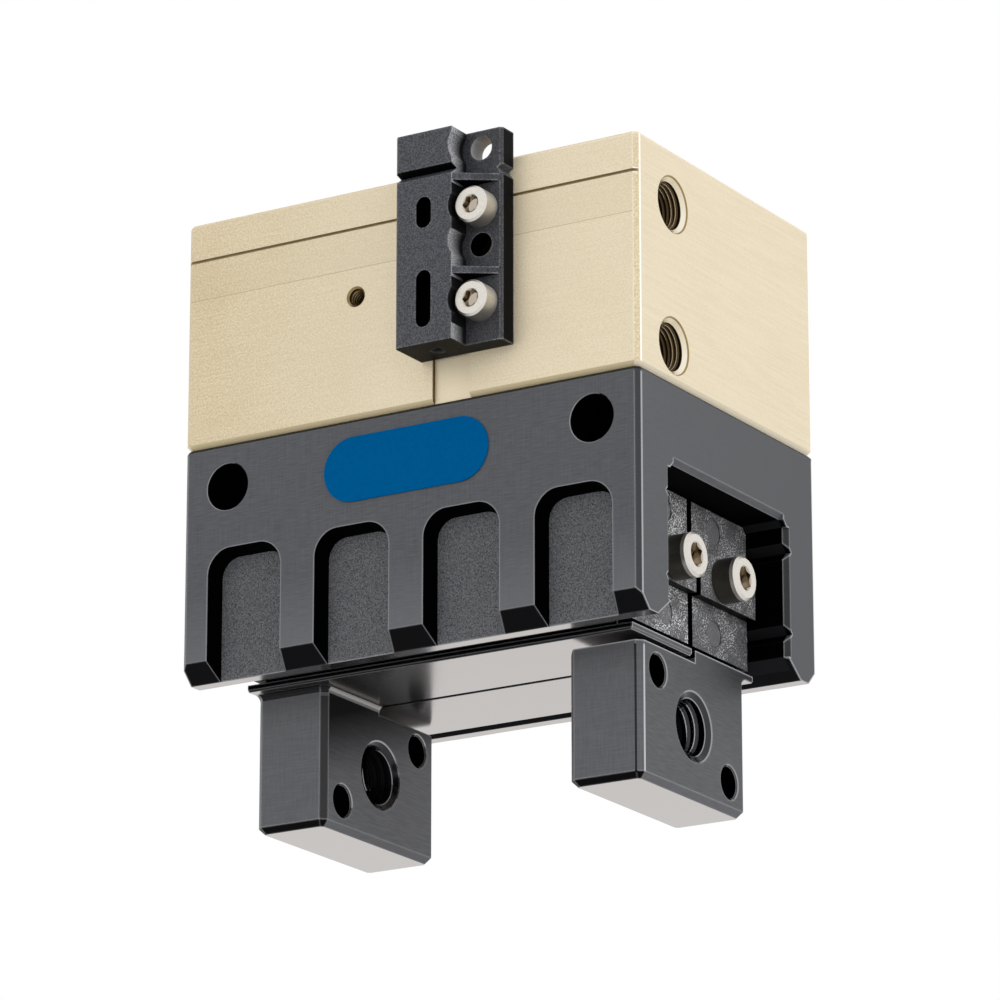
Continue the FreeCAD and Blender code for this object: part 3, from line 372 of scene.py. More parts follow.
# Painted shade: the bores, the pin hole and the lane wall are painted brown.
dark = any_of(add, lane_wall, bores, small)
# Painted shade: a thin dark rim round the mouths.
rim = any_of(add, port_rim, all_of(add, front_mouth, between(add, place["Y"], *FRONT_RIM_Y)))
# Painted highlight: the crests of the first turns are painted light.
port_crests = all_of(add, in_bores(add, where, "X", PORTS, PORT_CREST),
                     between(add, place["X"], *PORT_CREST_X), 0.8)
crests = any_of(add, port_crests,
                all_of(add, front_crest, between(add, place["Y"], *FRONT_CREST_Y), 0.6))
# Painted shade: the downward part of the port mouths is painted darker.
shaded = all_of(add, mouth, add("MapRange", {"Value": facing["Z"], "From Min": 0.1, "From Max": -0.5}))
for cover, colour in ((dark, "#6a5536"), (all_of(add, bores, 0.75), "#3a2e20"), (crests, "#cdbb97"),
                      (mouth, "#f1e8d5"), (shaded, "#e2d6ba"), (rim, "#9b865c")):
    tone = add("Mix", {"Factor": cover, "A": tone, "B": hex_colour(colour)}, data_type="RGBA")
print("ports:", len(PORTS), "front hole and pin hole at X", FRONT_HOLE[0], "and", PIN_HOLE[0], "mm")

# %% [markdown]
# ### Gold: edges and shader
# The outer edges are painted pale as highlights, more on the side that meets the light, but not along
# the edges of holes and grooves, and a bright line is painted down the end corners. Blasted metal
# scatters light widely, so the shader is only part metallic and quite rough, and the bright cuts are
# smoother and more metallic.

# %% Gold: painted edge highlights and shader
GROOVE_EDGE_Z, FOOT_EDGE_Z = (-9.2, -6.2), (-46, -43.9)
LANE_EDGE_X, LANE_EDGE_Z = (4.5, 15), (-FAR, -20)
HOLE_EDGE, CORNER_X, CORNER_DEPTH = 3.4, (49.85, 51), (31.8, 32.2)

cuts = any_of(add, all_of(add, between(add, place["Z"], *GROOVE_EDGE_Z), between(add, turn_x, -0.1, 0.4)),
              all_of(add, between(add, place["X"], *LANE_EDGE_X), between(add, place["Z"], *LANE_EDGE_Z)),
              in_bores(add, where, "Y", (FRONT_HOLE, PIN_HOLE), HOLE_EDGE), ports,
              between(add, place["Z"], *FOOT_EDGE_Z))
side_light = add("MapRange", {"Value": place["X"], "From Min": -50.0, "From Max": 50.0, "To Min": 0.2})
# Painted highlight: the outer edges are painted pale, more towards the lit right side.
painted_highlights = all_of(add, outer_edge(add, 0.95), side_light, none_of(add, cuts))
# Painted highlight: a bright line down the end corners.
corner = all_of(add, between(add, place["X"], *CORNER_X), between(add, depth, *CORNER_DEPTH))
tone = add("Mix", {"Factor": any_of(add, painted_highlights, corner), "A": tone, "B": hex_colour("#fbf7ef")},
           data_type="RGBA")
cut = any_of(add, dark, mouth, rim)
metal = add("MapRange", {"Value": cut, "To Min": 0.3, "To Max": 0.9})
rough = add("MapRange", {"Value": cut, "To Min": 0.55, "To Max": 0.3})
pits = add("Bump", {"Height": grain, "Strength": 0.2, "Distance": 0.06 * MM})
shader = add("BsdfPrincipled", {"Base Color": tone, "Metallic": metal, "Roughness": rough,
                                "Specular IOR Level": 0.4, "Normal": pits})
add("OutputMaterial", {"Surface": shader})
print("made", gold.name, "with", len(gold.node_tree.nodes), "nodes")

# %% [markdown]
# ## Black hard anodised aluminium
# The guide housing is milled and hard anodised black. Two passes of the cutter leave fine crossed
# lines on the front and the ends, the level ones stronger, and the pockets keep the pebbled skin of
# the casting. Each set of lines is a noise stretched one way, and the pebbles are a distorted noise.

# %% Black: lines, pebbles and tint
# The real lines and pebbles are too fine to show in the render, so they are drawn coarser.
MILL_LINE, CAST_GRAIN = 0.25, 0.28
UPRIGHT_STRETCH, LEVEL_STRETCH = (1, 1, 1 / 30), (1 / 12, 1 / 12, 1)

black, add = start_material("black_hard_anodised_aluminium")
where, place, facing = surface(add)
along, depth = [add("Math", {0: place[axis]}, operation="ABSOLUTE") for axis in "XY"]
turn_x, turn_y = [add("Math", {0: facing[axis]}, operation="ABSOLUTE") for axis in "XY"]
crossed = []
for stretch in (UPRIGHT_STRETCH, LEVEL_STRETCH):
    drawn = add("VectorMath", {0: where, 1: stretch}, operation="MULTIPLY")
    crossed.append(add("TexNoise", {"Vector": drawn, "Scale": 1 / MILL_LINE}))
lines = add("Mix", {"Factor": 0.65, "A": crossed[0], "B": crossed[1]})
pebble = add("TexNoise", {"Vector": where, "Scale": 1 / CAST_GRAIN, "Detail": 3.0, "Distortion": 1.2})
shade = add("MapRange", {"Value": lines, "From Min": 0.35, "From Max": 0.65})
tone = add("Mix", {"Factor": shade, "A": hex_colour("#444549"), "B": hex_colour("#545559")},
           data_type="RGBA")
spots = add("MapRange", {"Value": pebble, "From Min": 0.36, "From Max": 0.64})
cast = add("Mix", {"Factor": spots, "A": hex_colour("#25262a"), "B": hex_colour("#6f7074")},
           data_type="RGBA")
print("mill lines", MILL_LINE, "mm, pebbles", CAST_GRAIN, "mm")

# %% [markdown]
# ### Black: places
# Chamfers, pocket walls, bores and the inside of the channel see little light, so they are painted
# nearly black as shade, and the channel's downward flanks a little lighter, as light. The feet are
# ground flat and mirror the room. A mask for each place comes first, because some of them are needed
# again for the gloss.

# %% Black: masks of pockets, channel and feet
JOINT_Z, POCKET_Z, CHANNEL_Z, FEET_Z = -45.5, (-FAR, -64), (-90.9, -60.5), (-FAR, -90.5)
POCKET_FLOOR, POCKET_WALL, POCKET_X = (29.1, 31.5), (29.1, 32.9), (-1, 47.5)
CHANNEL_DEPTH, CHANNEL_X, MOUTH_DEPTH = (-1, 24.5), (-1, 48.9), (20, 27)
SIDE_BORES, SIDE_BORE_REACH, SIDE_BORE_DEPTH = ((-40, 0, -54), (40, 0, -54)), 4.8, (-1, 32.86)
FACE_DEPTH, BEVEL_X = (32.5, 33.5), (48.9, 51)

low = between(add, place["Z"], *POCKET_Z)
pocket = all_of(add, low, between(add, depth, *POCKET_FLOOR), between(add, turn_y, 0.95, 1.1))
walls = all_of(add, low, between(add, depth, *POCKET_WALL), between(add, turn_y, -0.1, 0.6),
               between(add, along, *POCKET_X))
channel = all_of(add, between(add, depth, *CHANNEL_DEPTH), between(add, place["Z"], *CHANNEL_Z),
                 between(add, along, *CHANNEL_X))
side_bores = in_bores(add, where, "Y", SIDE_BORES, SIDE_BORE_REACH)
# Painted shade: pocket walls, the channel and the side bores are painted near black.
deep = any_of(add, walls, channel, all_of(add, side_bores, between(add, depth, *SIDE_BORE_DEPTH)))
# Painted light: the channel's downward flanks are painted a little lighter.
flanks = all_of(add, channel, between(add, facing["Z"], -0.95, -0.2))
# Painted shade: the downward chamfers are painted dark.
bevel = all_of(add, between(add, facing["Z"], -0.97, -0.25), between(add, turn_x, -0.1, 0.5))
# Painted shade: the upright corner chamfers are painted dark, darker still at the opening.
corners = all_of(add, between(add, turn_x, *SLANTED), between(add, turn_y, *SLANTED),
                 between(add, along, *BEVEL_X))
mouth_bevel = all_of(add, corners, between(add, depth, *MOUTH_DEPTH))
ground = all_of(add, between(add, facing["Z"], *FLAT_DOWN), between(add, place["Z"], *FEET_Z))
seam = between(add, place["Z"], JOINT_Z - 0.58, JOINT_Z + 0.1)
print("joint with the gold body at", JOINT_Z, "mm, side bores:", len(SIDE_BORES))

# %% [markdown]
# ### Black: coats
# The ends are painted darker as shade, more towards the back, and the ribs are painted lighter towards
# the feet, as light.
# The coats are laid from the broad faces to the narrow ones, because a later one covers an earlier.

# %% Black: coats
# Painted shade: the ends are painted darker than the front, more towards the back.
backward = add("MapRange", {"Value": place["Y"], "From Min": -33.0, "From Max": 33.0,
                            "To Min": 0.9, "To Max": 1.54})
ends = all_of(add, between(add, turn_x, *SQUARE), 0.65, backward)
# Painted light: the ribs are painted lighter towards the feet.
downward = add("MapRange", {"Value": place["Z"], "From Min": -74.0, "From Max": -88.0, "To Max": 0.5})
ribs = all_of(add, between(add, turn_y, 0.95, 1.1), between(add, depth, *FACE_DEPTH), downward)
for cover, colour in ((ends, hex_colour("#3e3f43")), (ribs, hex_colour("#6c6d71")), (pocket, cast),
                      (bevel, hex_colour("#121214")), (corners, hex_colour("#2e2f32")),
                      (mouth_bevel, hex_colour("#1a1a1c")), (deep, hex_colour("#050505")),
                      (flanks, hex_colour("#2f2f32")), (ground, hex_colour("#b4aeab")),
                      (seam, hex_colour("#070605"))):
    tone = add("Mix", {"Factor": cover, "A": tone, "B": colour}, data_type="RGBA")
print("black coats laid:", len(black.node_tree.nodes), "nodes so far")

# %% [markdown]
# ### Black: edges and shader
# The outer edges, most at the two ends, and a fine ring round each side bore are painted grey highlights.
# The dark places are metallic, because a metal with a dark tint has no other reflection than its tint.

# %% Black: painted edge highlights and shader
BORE_EDGE, RING_DEPTH, END_X = 5.3, (32.86, 32.99), (48.8, 51)

around = in_bores(add, where, "Y", SIDE_BORES, BORE_EDGE)
# Painted highlight: a fine ring on the side bores' chamfers that face the light.
ring = all_of(add, side_bores, between(add, depth, *RING_DEPTH), between(add, facing["X"], -0.25, 1.1))
plain = any_of(add, deep, around, between(add, place["Z"], JOINT_Z - 1.0, JOINT_Z + 0.1))
open_face = add("MapRange", {"Value": plain, "To Min": 1.0, "To Max": 0.08})
strong = any_of(add, between(add, along, *END_X), 0.6)
# Painted highlight: a bright line down the end corners.
corner = all_of(add, between(add, along, *CORNER_X), between(add, depth, *CORNER_DEPTH))
# Painted highlight on the outer edges, most at the two ends.
painted_highlights = any_of(add, all_of(add, outer_edge(add, 0.85), open_face, strong),
                all_of(add, corner, open_face, 0.8), all_of(add, ring, 0.6))
tone = add("Mix", {"Factor": painted_highlights, "A": tone, "B": hex_colour("#a9aaae")}, data_type="RGBA")
rough = add("MapRange", {"Value": deep, "To Min": 0.42, "To Max": 0.9})
rough = add("Mix", {"Factor": ground, "A": rough, "B": 0.2})
height = add("Mix", {"Factor": pocket, "A": lines, "B": pebble})
relief = add("MapRange", {"Value": pocket, "To Min": 0.05, "To Max": 0.9})
skin = add("Bump", {"Height": height, "Strength": relief, "Distance": 0.12 * MM})
shader = add("BsdfPrincipled", {"Base Color": tone, "Metallic": any_of(add, ground, deep, bevel, seam),
                                "Roughness": rough, "Specular IOR Level": 0.35, "Normal": skin})
add("OutputMaterial", {"Surface": shader})
print("made", black.name, "with", len(black.node_tree.nodes), "nodes")

# %% [markdown]
# ## Blackened steel
# The jaws are ground steel with a black oxide skin. Grinding in two passes leaves a fine weave of
# crossed lines on the upright faces, and on the ends the level lines are plainer. Two stretched noises
# make the weave, as they do on the housing.

# %% Jaws: weave and tint
# The real weave is too fine to show in the render, so it is drawn coarser.
WEAVE_LINE, WEAVE_STRETCH = 0.22, 16
INNER_X = (26, 27)

jaw_steel, add = start_material("black_oxide_ground_steel")
where, place, facing = surface(add)
along = add("Math", {0: place["X"]}, operation="ABSOLUTE")
turn_x, turn_y = [add("Math", {0: facing[axis]}, operation="ABSOLUTE") for axis in "XY"]
weave = []
for stretch in ((1, 1, 1 / WEAVE_STRETCH), (1 / WEAVE_STRETCH, 1 / WEAVE_STRETCH, 1)):
    drawn = add("VectorMath", {0: where, 1: stretch}, operation="MULTIPLY")
    weave.append(add("TexNoise", {"Vector": drawn, "Scale": 1 / WEAVE_LINE}))
crossed = add("Mix", {"Factor": 0.5, "A": weave[0], "B": weave[1]})
shade = add("MapRange", {"Value": crossed, "From Min": 0.35, "From Max": 0.65})
streaks = add("MapRange", {"Value": weave[1], "From Min": 0.35, "From Max": 0.65})
# Painted light: the end faces get their own tones, the inner faces lighter than the outer ones.
tone, outer_tone, inner_tone = [
    add("Mix", {"Factor": pattern, "A": hex_colour(low), "B": hex_colour(high)}, data_type="RGBA")
    for pattern, low, high in ((shade, "#4e4f53", "#5b5c60"), (streaks, "#3c3d40", "#4a4b4e"),
                               (streaks, "#494a4e", "#5a5b60"))]
inner_side = between(add, along, *INNER_X)
end_tone = add("Mix", {"Factor": inner_side, "A": outer_tone, "B": inner_tone}, data_type="RGBA")
print("weave lines", WEAVE_LINE, "mm")

# %% [markdown]
# ### Jaws: faces
# The undersides are finely ground and nearly bare. The slopes at the root of a finger, its toe and
# the sides of the long strips turn from the light. Masks by height and by facing tell them apart.

# %% Jaws: masks of the faces
FINGER_Z, ROOT_Z, STRIP_Z, TOE_Z = (-FAR, -93.4), (-93.4, -91.4), (-91.55, -89.5), (-FAR, -117)
CARRIAGE_X, CARRIAGE_Z, OUTER_X = (38, 39), (-90.5, -60), (30, FAR)
# Places of a painted highlight line and a painted dark line near the right finger's front corner
EDGE_X, EDGE_Y = (41.85, 43), (-18.2, -17.8)
DARK_LINE_X, DARK_LINE_Y = (40.55, 40.95), (-20, -18.9)

ends = between(add, turn_x, *SQUARE)
ground = between(add, facing["Z"], *FLAT_DOWN)
fingers = between(add, place["Z"], *FINGER_Z)
slope = between(add, facing["Z"], -0.97, -0.08)
front_slope = between(add, facing["Y"], -1.1, -0.3)
root = all_of(add, slope, between(add, place["Z"], *ROOT_Z))
# Painted light and shade: the inner root is painted bright, the front root darker.
inner_root = all_of(add, root, between(add, turn_y, -0.1, 0.3))
front_root = all_of(add, root, front_slope)
sides = all_of(add, between(add, place["Z"], *STRIP_Z), between(add, turn_y, 0.5, 1.1))
toe = all_of(add, slope, between(add, place["Z"], *TOE_Z), front_slope)
behind = all_of(add, between(add, along, *CARRIAGE_X), between(add, place["Z"], *CARRIAGE_Z))
# Painted shade: the left finger's corner chamfer, which the other finger shades, is painted dark.
corners = all_of(add, between(add, turn_x, *SLANTED), between(add, turn_y, *SLANTED), fingers,
                 between(add, place["X"], -FAR, 0))
# Painted highlight and painted shade: a bright line on the right finger's outer face, a dark line on its
# front.
bright = all_of(add, fingers, between(add, place["X"], *EDGE_X), between(add, place["Y"], *EDGE_Y))
dark_edge_line = all_of(add, fingers, between(add, place["X"], *DARK_LINE_X), between(add, place["Y"], *DARK_LINE_Y))
print("fingers below", FINGER_Z[1], "mm")

# %% [markdown]
# ### Jaws: shade on the fingers
# The two inner faces look at each other across the gap, so they darken upwards and towards the front,
# where the housing takes their light. The outer face darkens a little towards the top and the back.
# A slow change like this is a range of heights mapped to a strength.

# %% Jaws: slow shades
inner_face = all_of(add, ends, inner_side)
slant = add("Math", {0: place["Y"], 1: -0.35, 2: place["Z"]}, operation="MULTIPLY_ADD")
inner = all_of(add, inner_face, add("MapRange", {"Value": slant, "From Min": -104.5, "From Max": -91.0}))
unlit = all_of(add, inner_face, add("MapRange", {"Value": slant, "From Min": -101.0, "From Max": -91.0,
                                                 "To Max": 0.7}))
shade_top = add("MapRange", {"Value": place["Z"], "From Min": -108.0, "From Max": -93.0, "To Max": 0.4})
backward = add("MapRange", {"Value": place["Y"], "From Min": -12.0, "From Max": 14.0, "To Min": 0.1})
shade_top = all_of(add, shade_top, between(add, place["X"], *OUTER_X), backward)
print("jaw shades made:", len(jaw_steel.node_tree.nodes), "nodes so far")

# %% [markdown]
# ### Jaws: holes
# Each finger has a threaded hole between two dowel holes on a slant, and the other finger is the same
# piece turned half round, so one mask holds all four places. The bevelled mouths mirror the room, a
# little darker on the left finger as painted shade, and have fine rims painted bright as highlights.
# The bores are painted dark as shade, and the first turns of the thread in the right finger catch
# painted light.

# %% Jaws: masks of the holes
FINGER_HOLES, FINGER_REACH, FINGER_THREAD_REACH, FINGER_CREST = ((0, 0, -104.9),), 6.9, 5.5, 5.03
DOWEL_HOLES, DOWEL_REACH = tuple((0, y, z) for y in (-13, 13) for z in (-97.2, -112.6)), 3.5
BORE_X, THREAD_X, LIT_X, DIM_X = (26.6, 41.9), (27.4, 41.05), (37.5, 41.05), (-FAR, 37.5)
MOUTH_RIMS = ((41.84, 42.1), (41.02, 41.2), (26.4, 26.66), (27.3, 27.48))

holes = any_of(add, in_bores(add, where, "X", FINGER_HOLES, FINGER_REACH),
               in_bores(add, where, "X", DOWEL_HOLES, DOWEL_REACH))
bores = all_of(add, holes, between(add, turn_x, -0.1, 0.2), between(add, along, *BORE_X))
threads = all_of(add, in_bores(add, where, "X", FINGER_HOLES, FINGER_THREAD_REACH),
                 between(add, along, *THREAD_X))
lit_thread, dim_thread = [all_of(add, threads, between(add, place["X"], *reach))
                          for reach in (LIT_X, DIM_X)]
crests = all_of(add, lit_thread, in_bores(add, where, "X", FINGER_HOLES, FINGER_CREST))
mouths = all_of(add, holes, between(add, turn_x, 0.2, 0.95), none_of(add, threads))
# Painted shade: the mouths are a little darker on the left finger.
mouth_tone = add("Mix", {"Factor": between(add, place["X"], 0, FAR), "A": hex_colour("#353537"),
                         "B": hex_colour("#3e3e41")}, data_type="RGBA")
# Painted highlight: fine bright rims on the mouths.
rims = all_of(add, mouths, any_of(add, *[between(add, along, *reach) for reach in MOUTH_RIMS]))
print("dowel holes in the two fingers:", len(DOWEL_HOLES))

# %% [markdown]
# ### Jaws: coats and shader
# The coats go on from the broad faces to the narrow edges, so that the painted edge highlights lie over
# all. Ground and shiny places are smooth metal, and the black skin between them is rougher and not
# metallic.

# %% Jaws: coats, painted edge highlights and shader
# Painted shade: bores, threads, toe, strip sides, carriage and a dark line are painted near black.
dark = any_of(add, toe, bores, threads, sides, behind, all_of(add, dark_edge_line, 0.8))
shiny = any_of(add, root, mouths, lit_thread)
# Painted highlight on the outer edges.
edge_highlight = all_of(add, outer_edge(add, 0.75), none_of(add, bores, dim_thread, dark_edge_line))
painted_highlights = any_of(add, edge_highlight, bright, all_of(add, rims, 0.65), all_of(add, crests, 0.8))
for cover, colour in ((ends, end_tone), (any_of(add, inner, shade_top), hex_colour("#050505")),
                      (corners, hex_colour("#232325")), (dark, hex_colour("#0d0d0e")),
                      (root, hex_colour("#3d3d40")), (front_root, hex_colour("#222224")),
                      (inner_root, hex_colour("#8d8b89")), (mouths, mouth_tone),
                      (lit_thread, hex_colour("#3a3a3c")), (ground, hex_colour("#b4aeab")),
                      (painted_highlights, hex_colour("#b4b4b6"))):
    tone = add("Mix", {"Factor": cover, "A": tone, "B": colour}, data_type="RGBA")
rough = add("MapRange", {"Value": any_of(add, ground, shiny), "To Min": 0.4, "To Max": 0.2})
rough = add("Mix", {"Factor": unlit, "A": rough, "B": 0.9})
skin = add("Bump", {"Height": crossed, "Strength": 0.05, "Distance": 0.1 * MM})
shader = add("BsdfPrincipled", {"Base Color": tone, "Metallic": any_of(add, ground, dark, shiny, unlit),
                                "Roughness": rough, "Specular IOR Level": 0.35, "Normal": skin})
add("OutputMaterial", {"Surface": shader})
print("made", jaw_steel.name, "with", len(jaw_steel.node_tree.nodes), "nodes")

# %% [markdown]
# ## Moulded end caps
# The end caps are glass filled plastic from a spark-eroded mould. Tiny flat spots of the grain would
# glint, and here the glints are painted as light specks, more in some patches than in others and more
# on the front half, as painted light: a fine noise gives the glints and a wide one the patches.

# %% Caps: grain and glints
# The real grain is too fine to show in the render, so it is drawn coarser.
CAP_GLINT, CAP_PATCH = 0.3, 4.0

cap_plastic, add = start_material("spark_grained_filled_plastic")
where, place, facing = surface(add)
turn_y = add("Math", {0: facing["Y"]}, operation="ABSOLUTE")
grain = add("TexNoise", {"Vector": where, "Scale": 1 / CAP_GLINT, "Detail": 3.0})
patch = add("TexNoise", {"Vector": where, "Scale": 1 / CAP_PATCH, "Detail": 3.0})
patch = add("MapRange", {"Value": patch, "From Min": 0.4, "From Max": 0.6, "To Min": 0.25, "To Max": 1.0})
# Painted light: the glints are stronger on the front half.
forward = add("MapRange", {"Value": place["Y"], "From Min": -1.0, "From Max": 1.0,
                           "To Min": 1.45, "To Max": 0.85})
# Painted highlight: the glints of the grain.
glint = add("MapRange", {"Value": grain, "From Min": 0.5, "From Max": 0.68,
                         "To Max": all_of(add, patch, forward)})
tone = add("Mix", {"Factor": glint, "A": hex_colour("#404042"), "B": hex_colour("#f0f0f1")},
           data_type="RGBA")
print("cap glints", CAP_GLINT, "mm in patches of", CAP_PATCH, "mm")

# %% [markdown]
# ### Caps: marks and shader
# Pins that push the cap out of its mould leave smooth round marks with a thin outline. The undersides
# of the caps and the faces where two of them meet see little light and stay dark.

# %% Caps: marks and shader
CAP_MARKS = tuple((0, y, z) for y in (-9.1, 9.1) for z in (-65.0, -84.8))
MARK_RADIUS, OUTLINE_RADIUS, SPLIT_Y = 2.5, 2.62, (-2, 2)

mark = in_bores(add, where, "X", CAP_MARKS, MARK_RADIUS)
outline = all_of(add, in_bores(add, where, "X", CAP_MARKS, OUTLINE_RADIUS), none_of(add, mark), 0.7)
split = all_of(add, between(add, turn_y, 0.8, 1.1), between(add, place["Y"], *SPLIT_Y))
unlit = any_of(add, between(add, facing["Z"], -1.1, -0.5), split)
for cover, colour in ((all_of(add, mark, 0.8), "#5d5d60"), (outline, "#161617"), (unlit, "#080809")):
    tone = add("Mix", {"Factor": cover, "A": tone, "B": hex_colour(colour)}, data_type="RGBA")
skin = add("Bump", {"Height": grain, "Strength": 0.8, "Distance": 0.12 * MM})
shader = add("BsdfPrincipled", {"Base Color": tone, "Metallic": unlit, "Roughness": 0.5,
                                "Specular IOR Level": 0.4, "Normal": skin})
add("OutputMaterial", {"Surface": shader})
print("made", cap_plastic.name, "with", len(CAP_MARKS), "marks at each end")

# %% [markdown]
# ## Moulded bracket
# The sensor bracket is a finer, darker moulding. Its scalloped walls keep the coarser marks of the
# mould's cores, with painted highlights that grow towards the front and painted shade at the back and
# round the screws. The ledge behind them is darker, and its outer side and underside turn from the
# light. One noise serves the tint, the glints of the walls and the relief.

# %% Bracket: grain and core marks
# The real grain is too fine to show in the render, so it is drawn coarser.
BRACKET_GRAIN = 0.26
TOP_HOLE, BRACKET_SCREWS = (18.9, 0, 1.1), ((18.9, 0, -11.0), (18.9, 0, -29.4))
SCREW_POCKET, CORE_X = 5.6, (13, 22)

bracket_plastic, add = start_material("fine_grained_black_plastic")
where, place, facing = surface(add)
turn_y = add("Math", {0: facing["Y"]}, operation="ABSOLUTE")
grain = add("TexNoise", {"Vector": where, "Scale": 1 / BRACKET_GRAIN, "Detail": 3.0})
shade = add("MapRange", {"Value": grain, "From Min": 0.35, "From Max": 0.65})
tone = add("Mix", {"Factor": shade, "A": hex_colour("#2a2b2f"), "B": hex_colour("#595a60")},
           data_type="RGBA")
cores = all_of(add, between(add, place["X"], *CORE_X), between(add, facing["X"], 0.2, 1.1),
               between(add, turn_y, -0.1, 0.3))
# Painted highlight: the glints of the core marks on the scalloped walls.
glint = add("MapRange", {"Value": grain, "From Min": 0.4, "From Max": 0.7})
coarse = add("Mix", {"Factor": glint, "A": hex_colour("#66666a"), "B": hex_colour("#c6c7cb")},
             data_type="RGBA")
# Painted light and shade: the core walls are lighter towards the front, dark at the back and round the
# screws.
forward = add("MapRange", {"Value": place["Y"], "From Min": -38.0, "From Max": -41.6})
forward = all_of(add, forward, none_of(add, in_bores(add, where, "Y", BRACKET_SCREWS, SCREW_POCKET)))
coarse = add("Mix", {"Factor": forward, "A": hex_colour("#0c0c0d"), "B": coarse}, data_type="RGBA")
print("bracket grain", BRACKET_GRAIN, "mm, screws:", len(BRACKET_SCREWS))

# %% [markdown]
# ### Bracket: places and shader
# The slots and the pin hole are painted black as shade, and light falls through the top hole, which
# is painted lighter. The outer edges carry painted highlights in specks rather than a line, strongest
# along the right-hand side and weak round the holes.

# %% Bracket: holes, painted edge highlights and shader
HOLE_RADIUS, HOLE_RIM = 2.4, 3.1
SLOT_X, SLOT_Y, SLOT_Z = (7, 12), (-42.1, -33.2), (-36.5, -4.6)
LEDGE_Y, OUTSIDE_X, SHELTERED_X = (-40, -33.2), (22.5, FAR), (0, 21.6)

round_wall = between(add, turn_y, -0.1, 0.5)
pin_hole, top_hole = [all_of(add, in_bores(add, where, "Y", (hole,), HOLE_RADIUS), round_wall)
                      for hole in (PIN_HOLE, TOP_HOLE)]
slots = all_of(add, between(add, place["X"], *SLOT_X), between(add, place["Y"], *SLOT_Y),
               between(add, place["Z"], *SLOT_Z), between(add, facing["Y"], -0.9, 1.1))
# Painted shade: the slots and the pin hole are painted black.
hidden = any_of(add, pin_hole, slots)
ledge = all_of(add, between(add, place["Y"], *LEDGE_Y), between(add, facing["Y"], -1.1, -0.5), 0.4)
outside = all_of(add, between(add, place["X"], *OUTSIDE_X), between(add, facing["X"], *SQUARE))
below = between(add, facing["Z"], *SQUARE_BACK)
# Painted highlight: specks along the outer edges, strongest along the right-hand side.
specks = add("MapRange", {"Value": grain, "From Min": 0.4, "From Max": 0.6, "To Min": 0.2, "To Max": 1.0})
sheltered = any_of(add, between(add, place["X"], *SHELTERED_X),
                   in_bores(add, where, "Y", (PIN_HOLE, TOP_HOLE), HOLE_RIM))
highlight_strength = add("MapRange", {"Value": sheltered, "To Min": 0.65, "To Max": 0.25})
painted_highlights = all_of(add, outer_edge(add, 1.0), specks, highlight_strength)
for cover, colour in ((ledge, hex_colour("#1b1b1d")), (cores, coarse),
                      (any_of(add, outside, below), hex_colour("#111112")),
                      (painted_highlights, hex_colour("#a0a1a5")), (top_hole, hex_colour("#98989a")),
                      (hidden, hex_colour("#040404"))):
    tone = add("Mix", {"Factor": cover, "A": tone, "B": colour}, data_type="RGBA")
metal = any_of(add, hidden, below, all_of(add, outside, 0.8))
rough = add("MapRange", {"Value": outside, "To Min": 0.45, "To Max": 0.75})
rough = add("Mix", {"Factor": below, "A": rough, "B": 0.62})
skin = add("Bump", {"Height": grain, "Strength": 0.4, "Distance": 0.12 * MM})
shader = add("BsdfPrincipled", {"Base Color": tone, "Metallic": metal, "Roughness": rough,
                                "Specular IOR Level": 0.25, "Normal": skin})
add("OutputMaterial", {"Surface": shader})
print("made", bracket_plastic.name, "with", len(bracket_plastic.node_tree.nodes), "nodes")

# %% [markdown]
# ## Stainless screws
# The screws are turned from stainless steel. Turning leaves a satin skin that scatters the room's
# reflection. One material with masks serves all the screws, because they are one metal.

# %% Screws: turned skin
# The real turning marks are too fine to show in the render, so they are drawn coarser.
TURNED_GRAIN = 0.2

stainless, add = start_material("turned_stainless_steel")
where, place, facing = surface(add)
along = add("Math", {0: place["X"]}, operation="ABSOLUTE")
turn_x = add("Math", {0: facing["X"]}, operation="ABSOLUTE")
grain = add("TexNoise", {"Vector": where, "Scale": 1 / TURNED_GRAIN, "Detail": 3.0})
shade = add("MapRange", {"Value": grain, "From Min": 0.3, "From Max": 0.7})
tone = add("Mix", {"Factor": shade, "A": hex_colour("#d4cfc7"), "B": hex_colour("#e7e2da")},
           data_type="RGBA")
print("turning marks", TURNED_GRAIN, "mm")

# %% [markdown]
# ### Screws: heads, sockets and shader
# The side of a head is painted darker below as shade, and the pressed hexagon is smoother than the
# head, so that its six walls show one by one, and a little darker as painted shade. The sides of the
# cap screws and the sunk grub screw see little light and are painted darker.

# %% Screws: heads, sockets and shader
CAP_SCREWS, CAP_SOCKET, CAP_SOCKET_X = ((0, -9.1, -75.1), (0, 9.1, -75.1)), 2.4, (40, 48.1)
BRACKET_SOCKET, BRACKET_SOCKET_Y = 1.8, (-40.95, -30)
HEAD_RADIUS, HEAD_Y, BARREL_X = 4.0, (-40.6, -36), (40, 47.0)
GRUB_Z, GRUB_X = (-38.0, -30.0), (0, 15)

bracket_sockets = all_of(add, in_bores(add, where, "Y", BRACKET_SCREWS, BRACKET_SOCKET),
                         between(add, place["Y"], *BRACKET_SOCKET_Y))
cap_sockets = all_of(add, in_bores(add, where, "X", CAP_SCREWS, CAP_SOCKET),
                     between(add, along, *CAP_SOCKET_X))
hexagon = any_of(add, bracket_sockets, cap_sockets)
barrel = all_of(add, between(add, along, *BARREL_X), between(add, turn_x, -0.1, 0.4))
sunk = all_of(add, between(add, place["Z"], *GRUB_Z), between(add, place["X"], *GRUB_X))
satin = all_of(add, in_bores(add, where, "Y", BRACKET_SCREWS, HEAD_RADIUS),
               between(add, place["Y"], *HEAD_Y), none_of(add, hexagon))
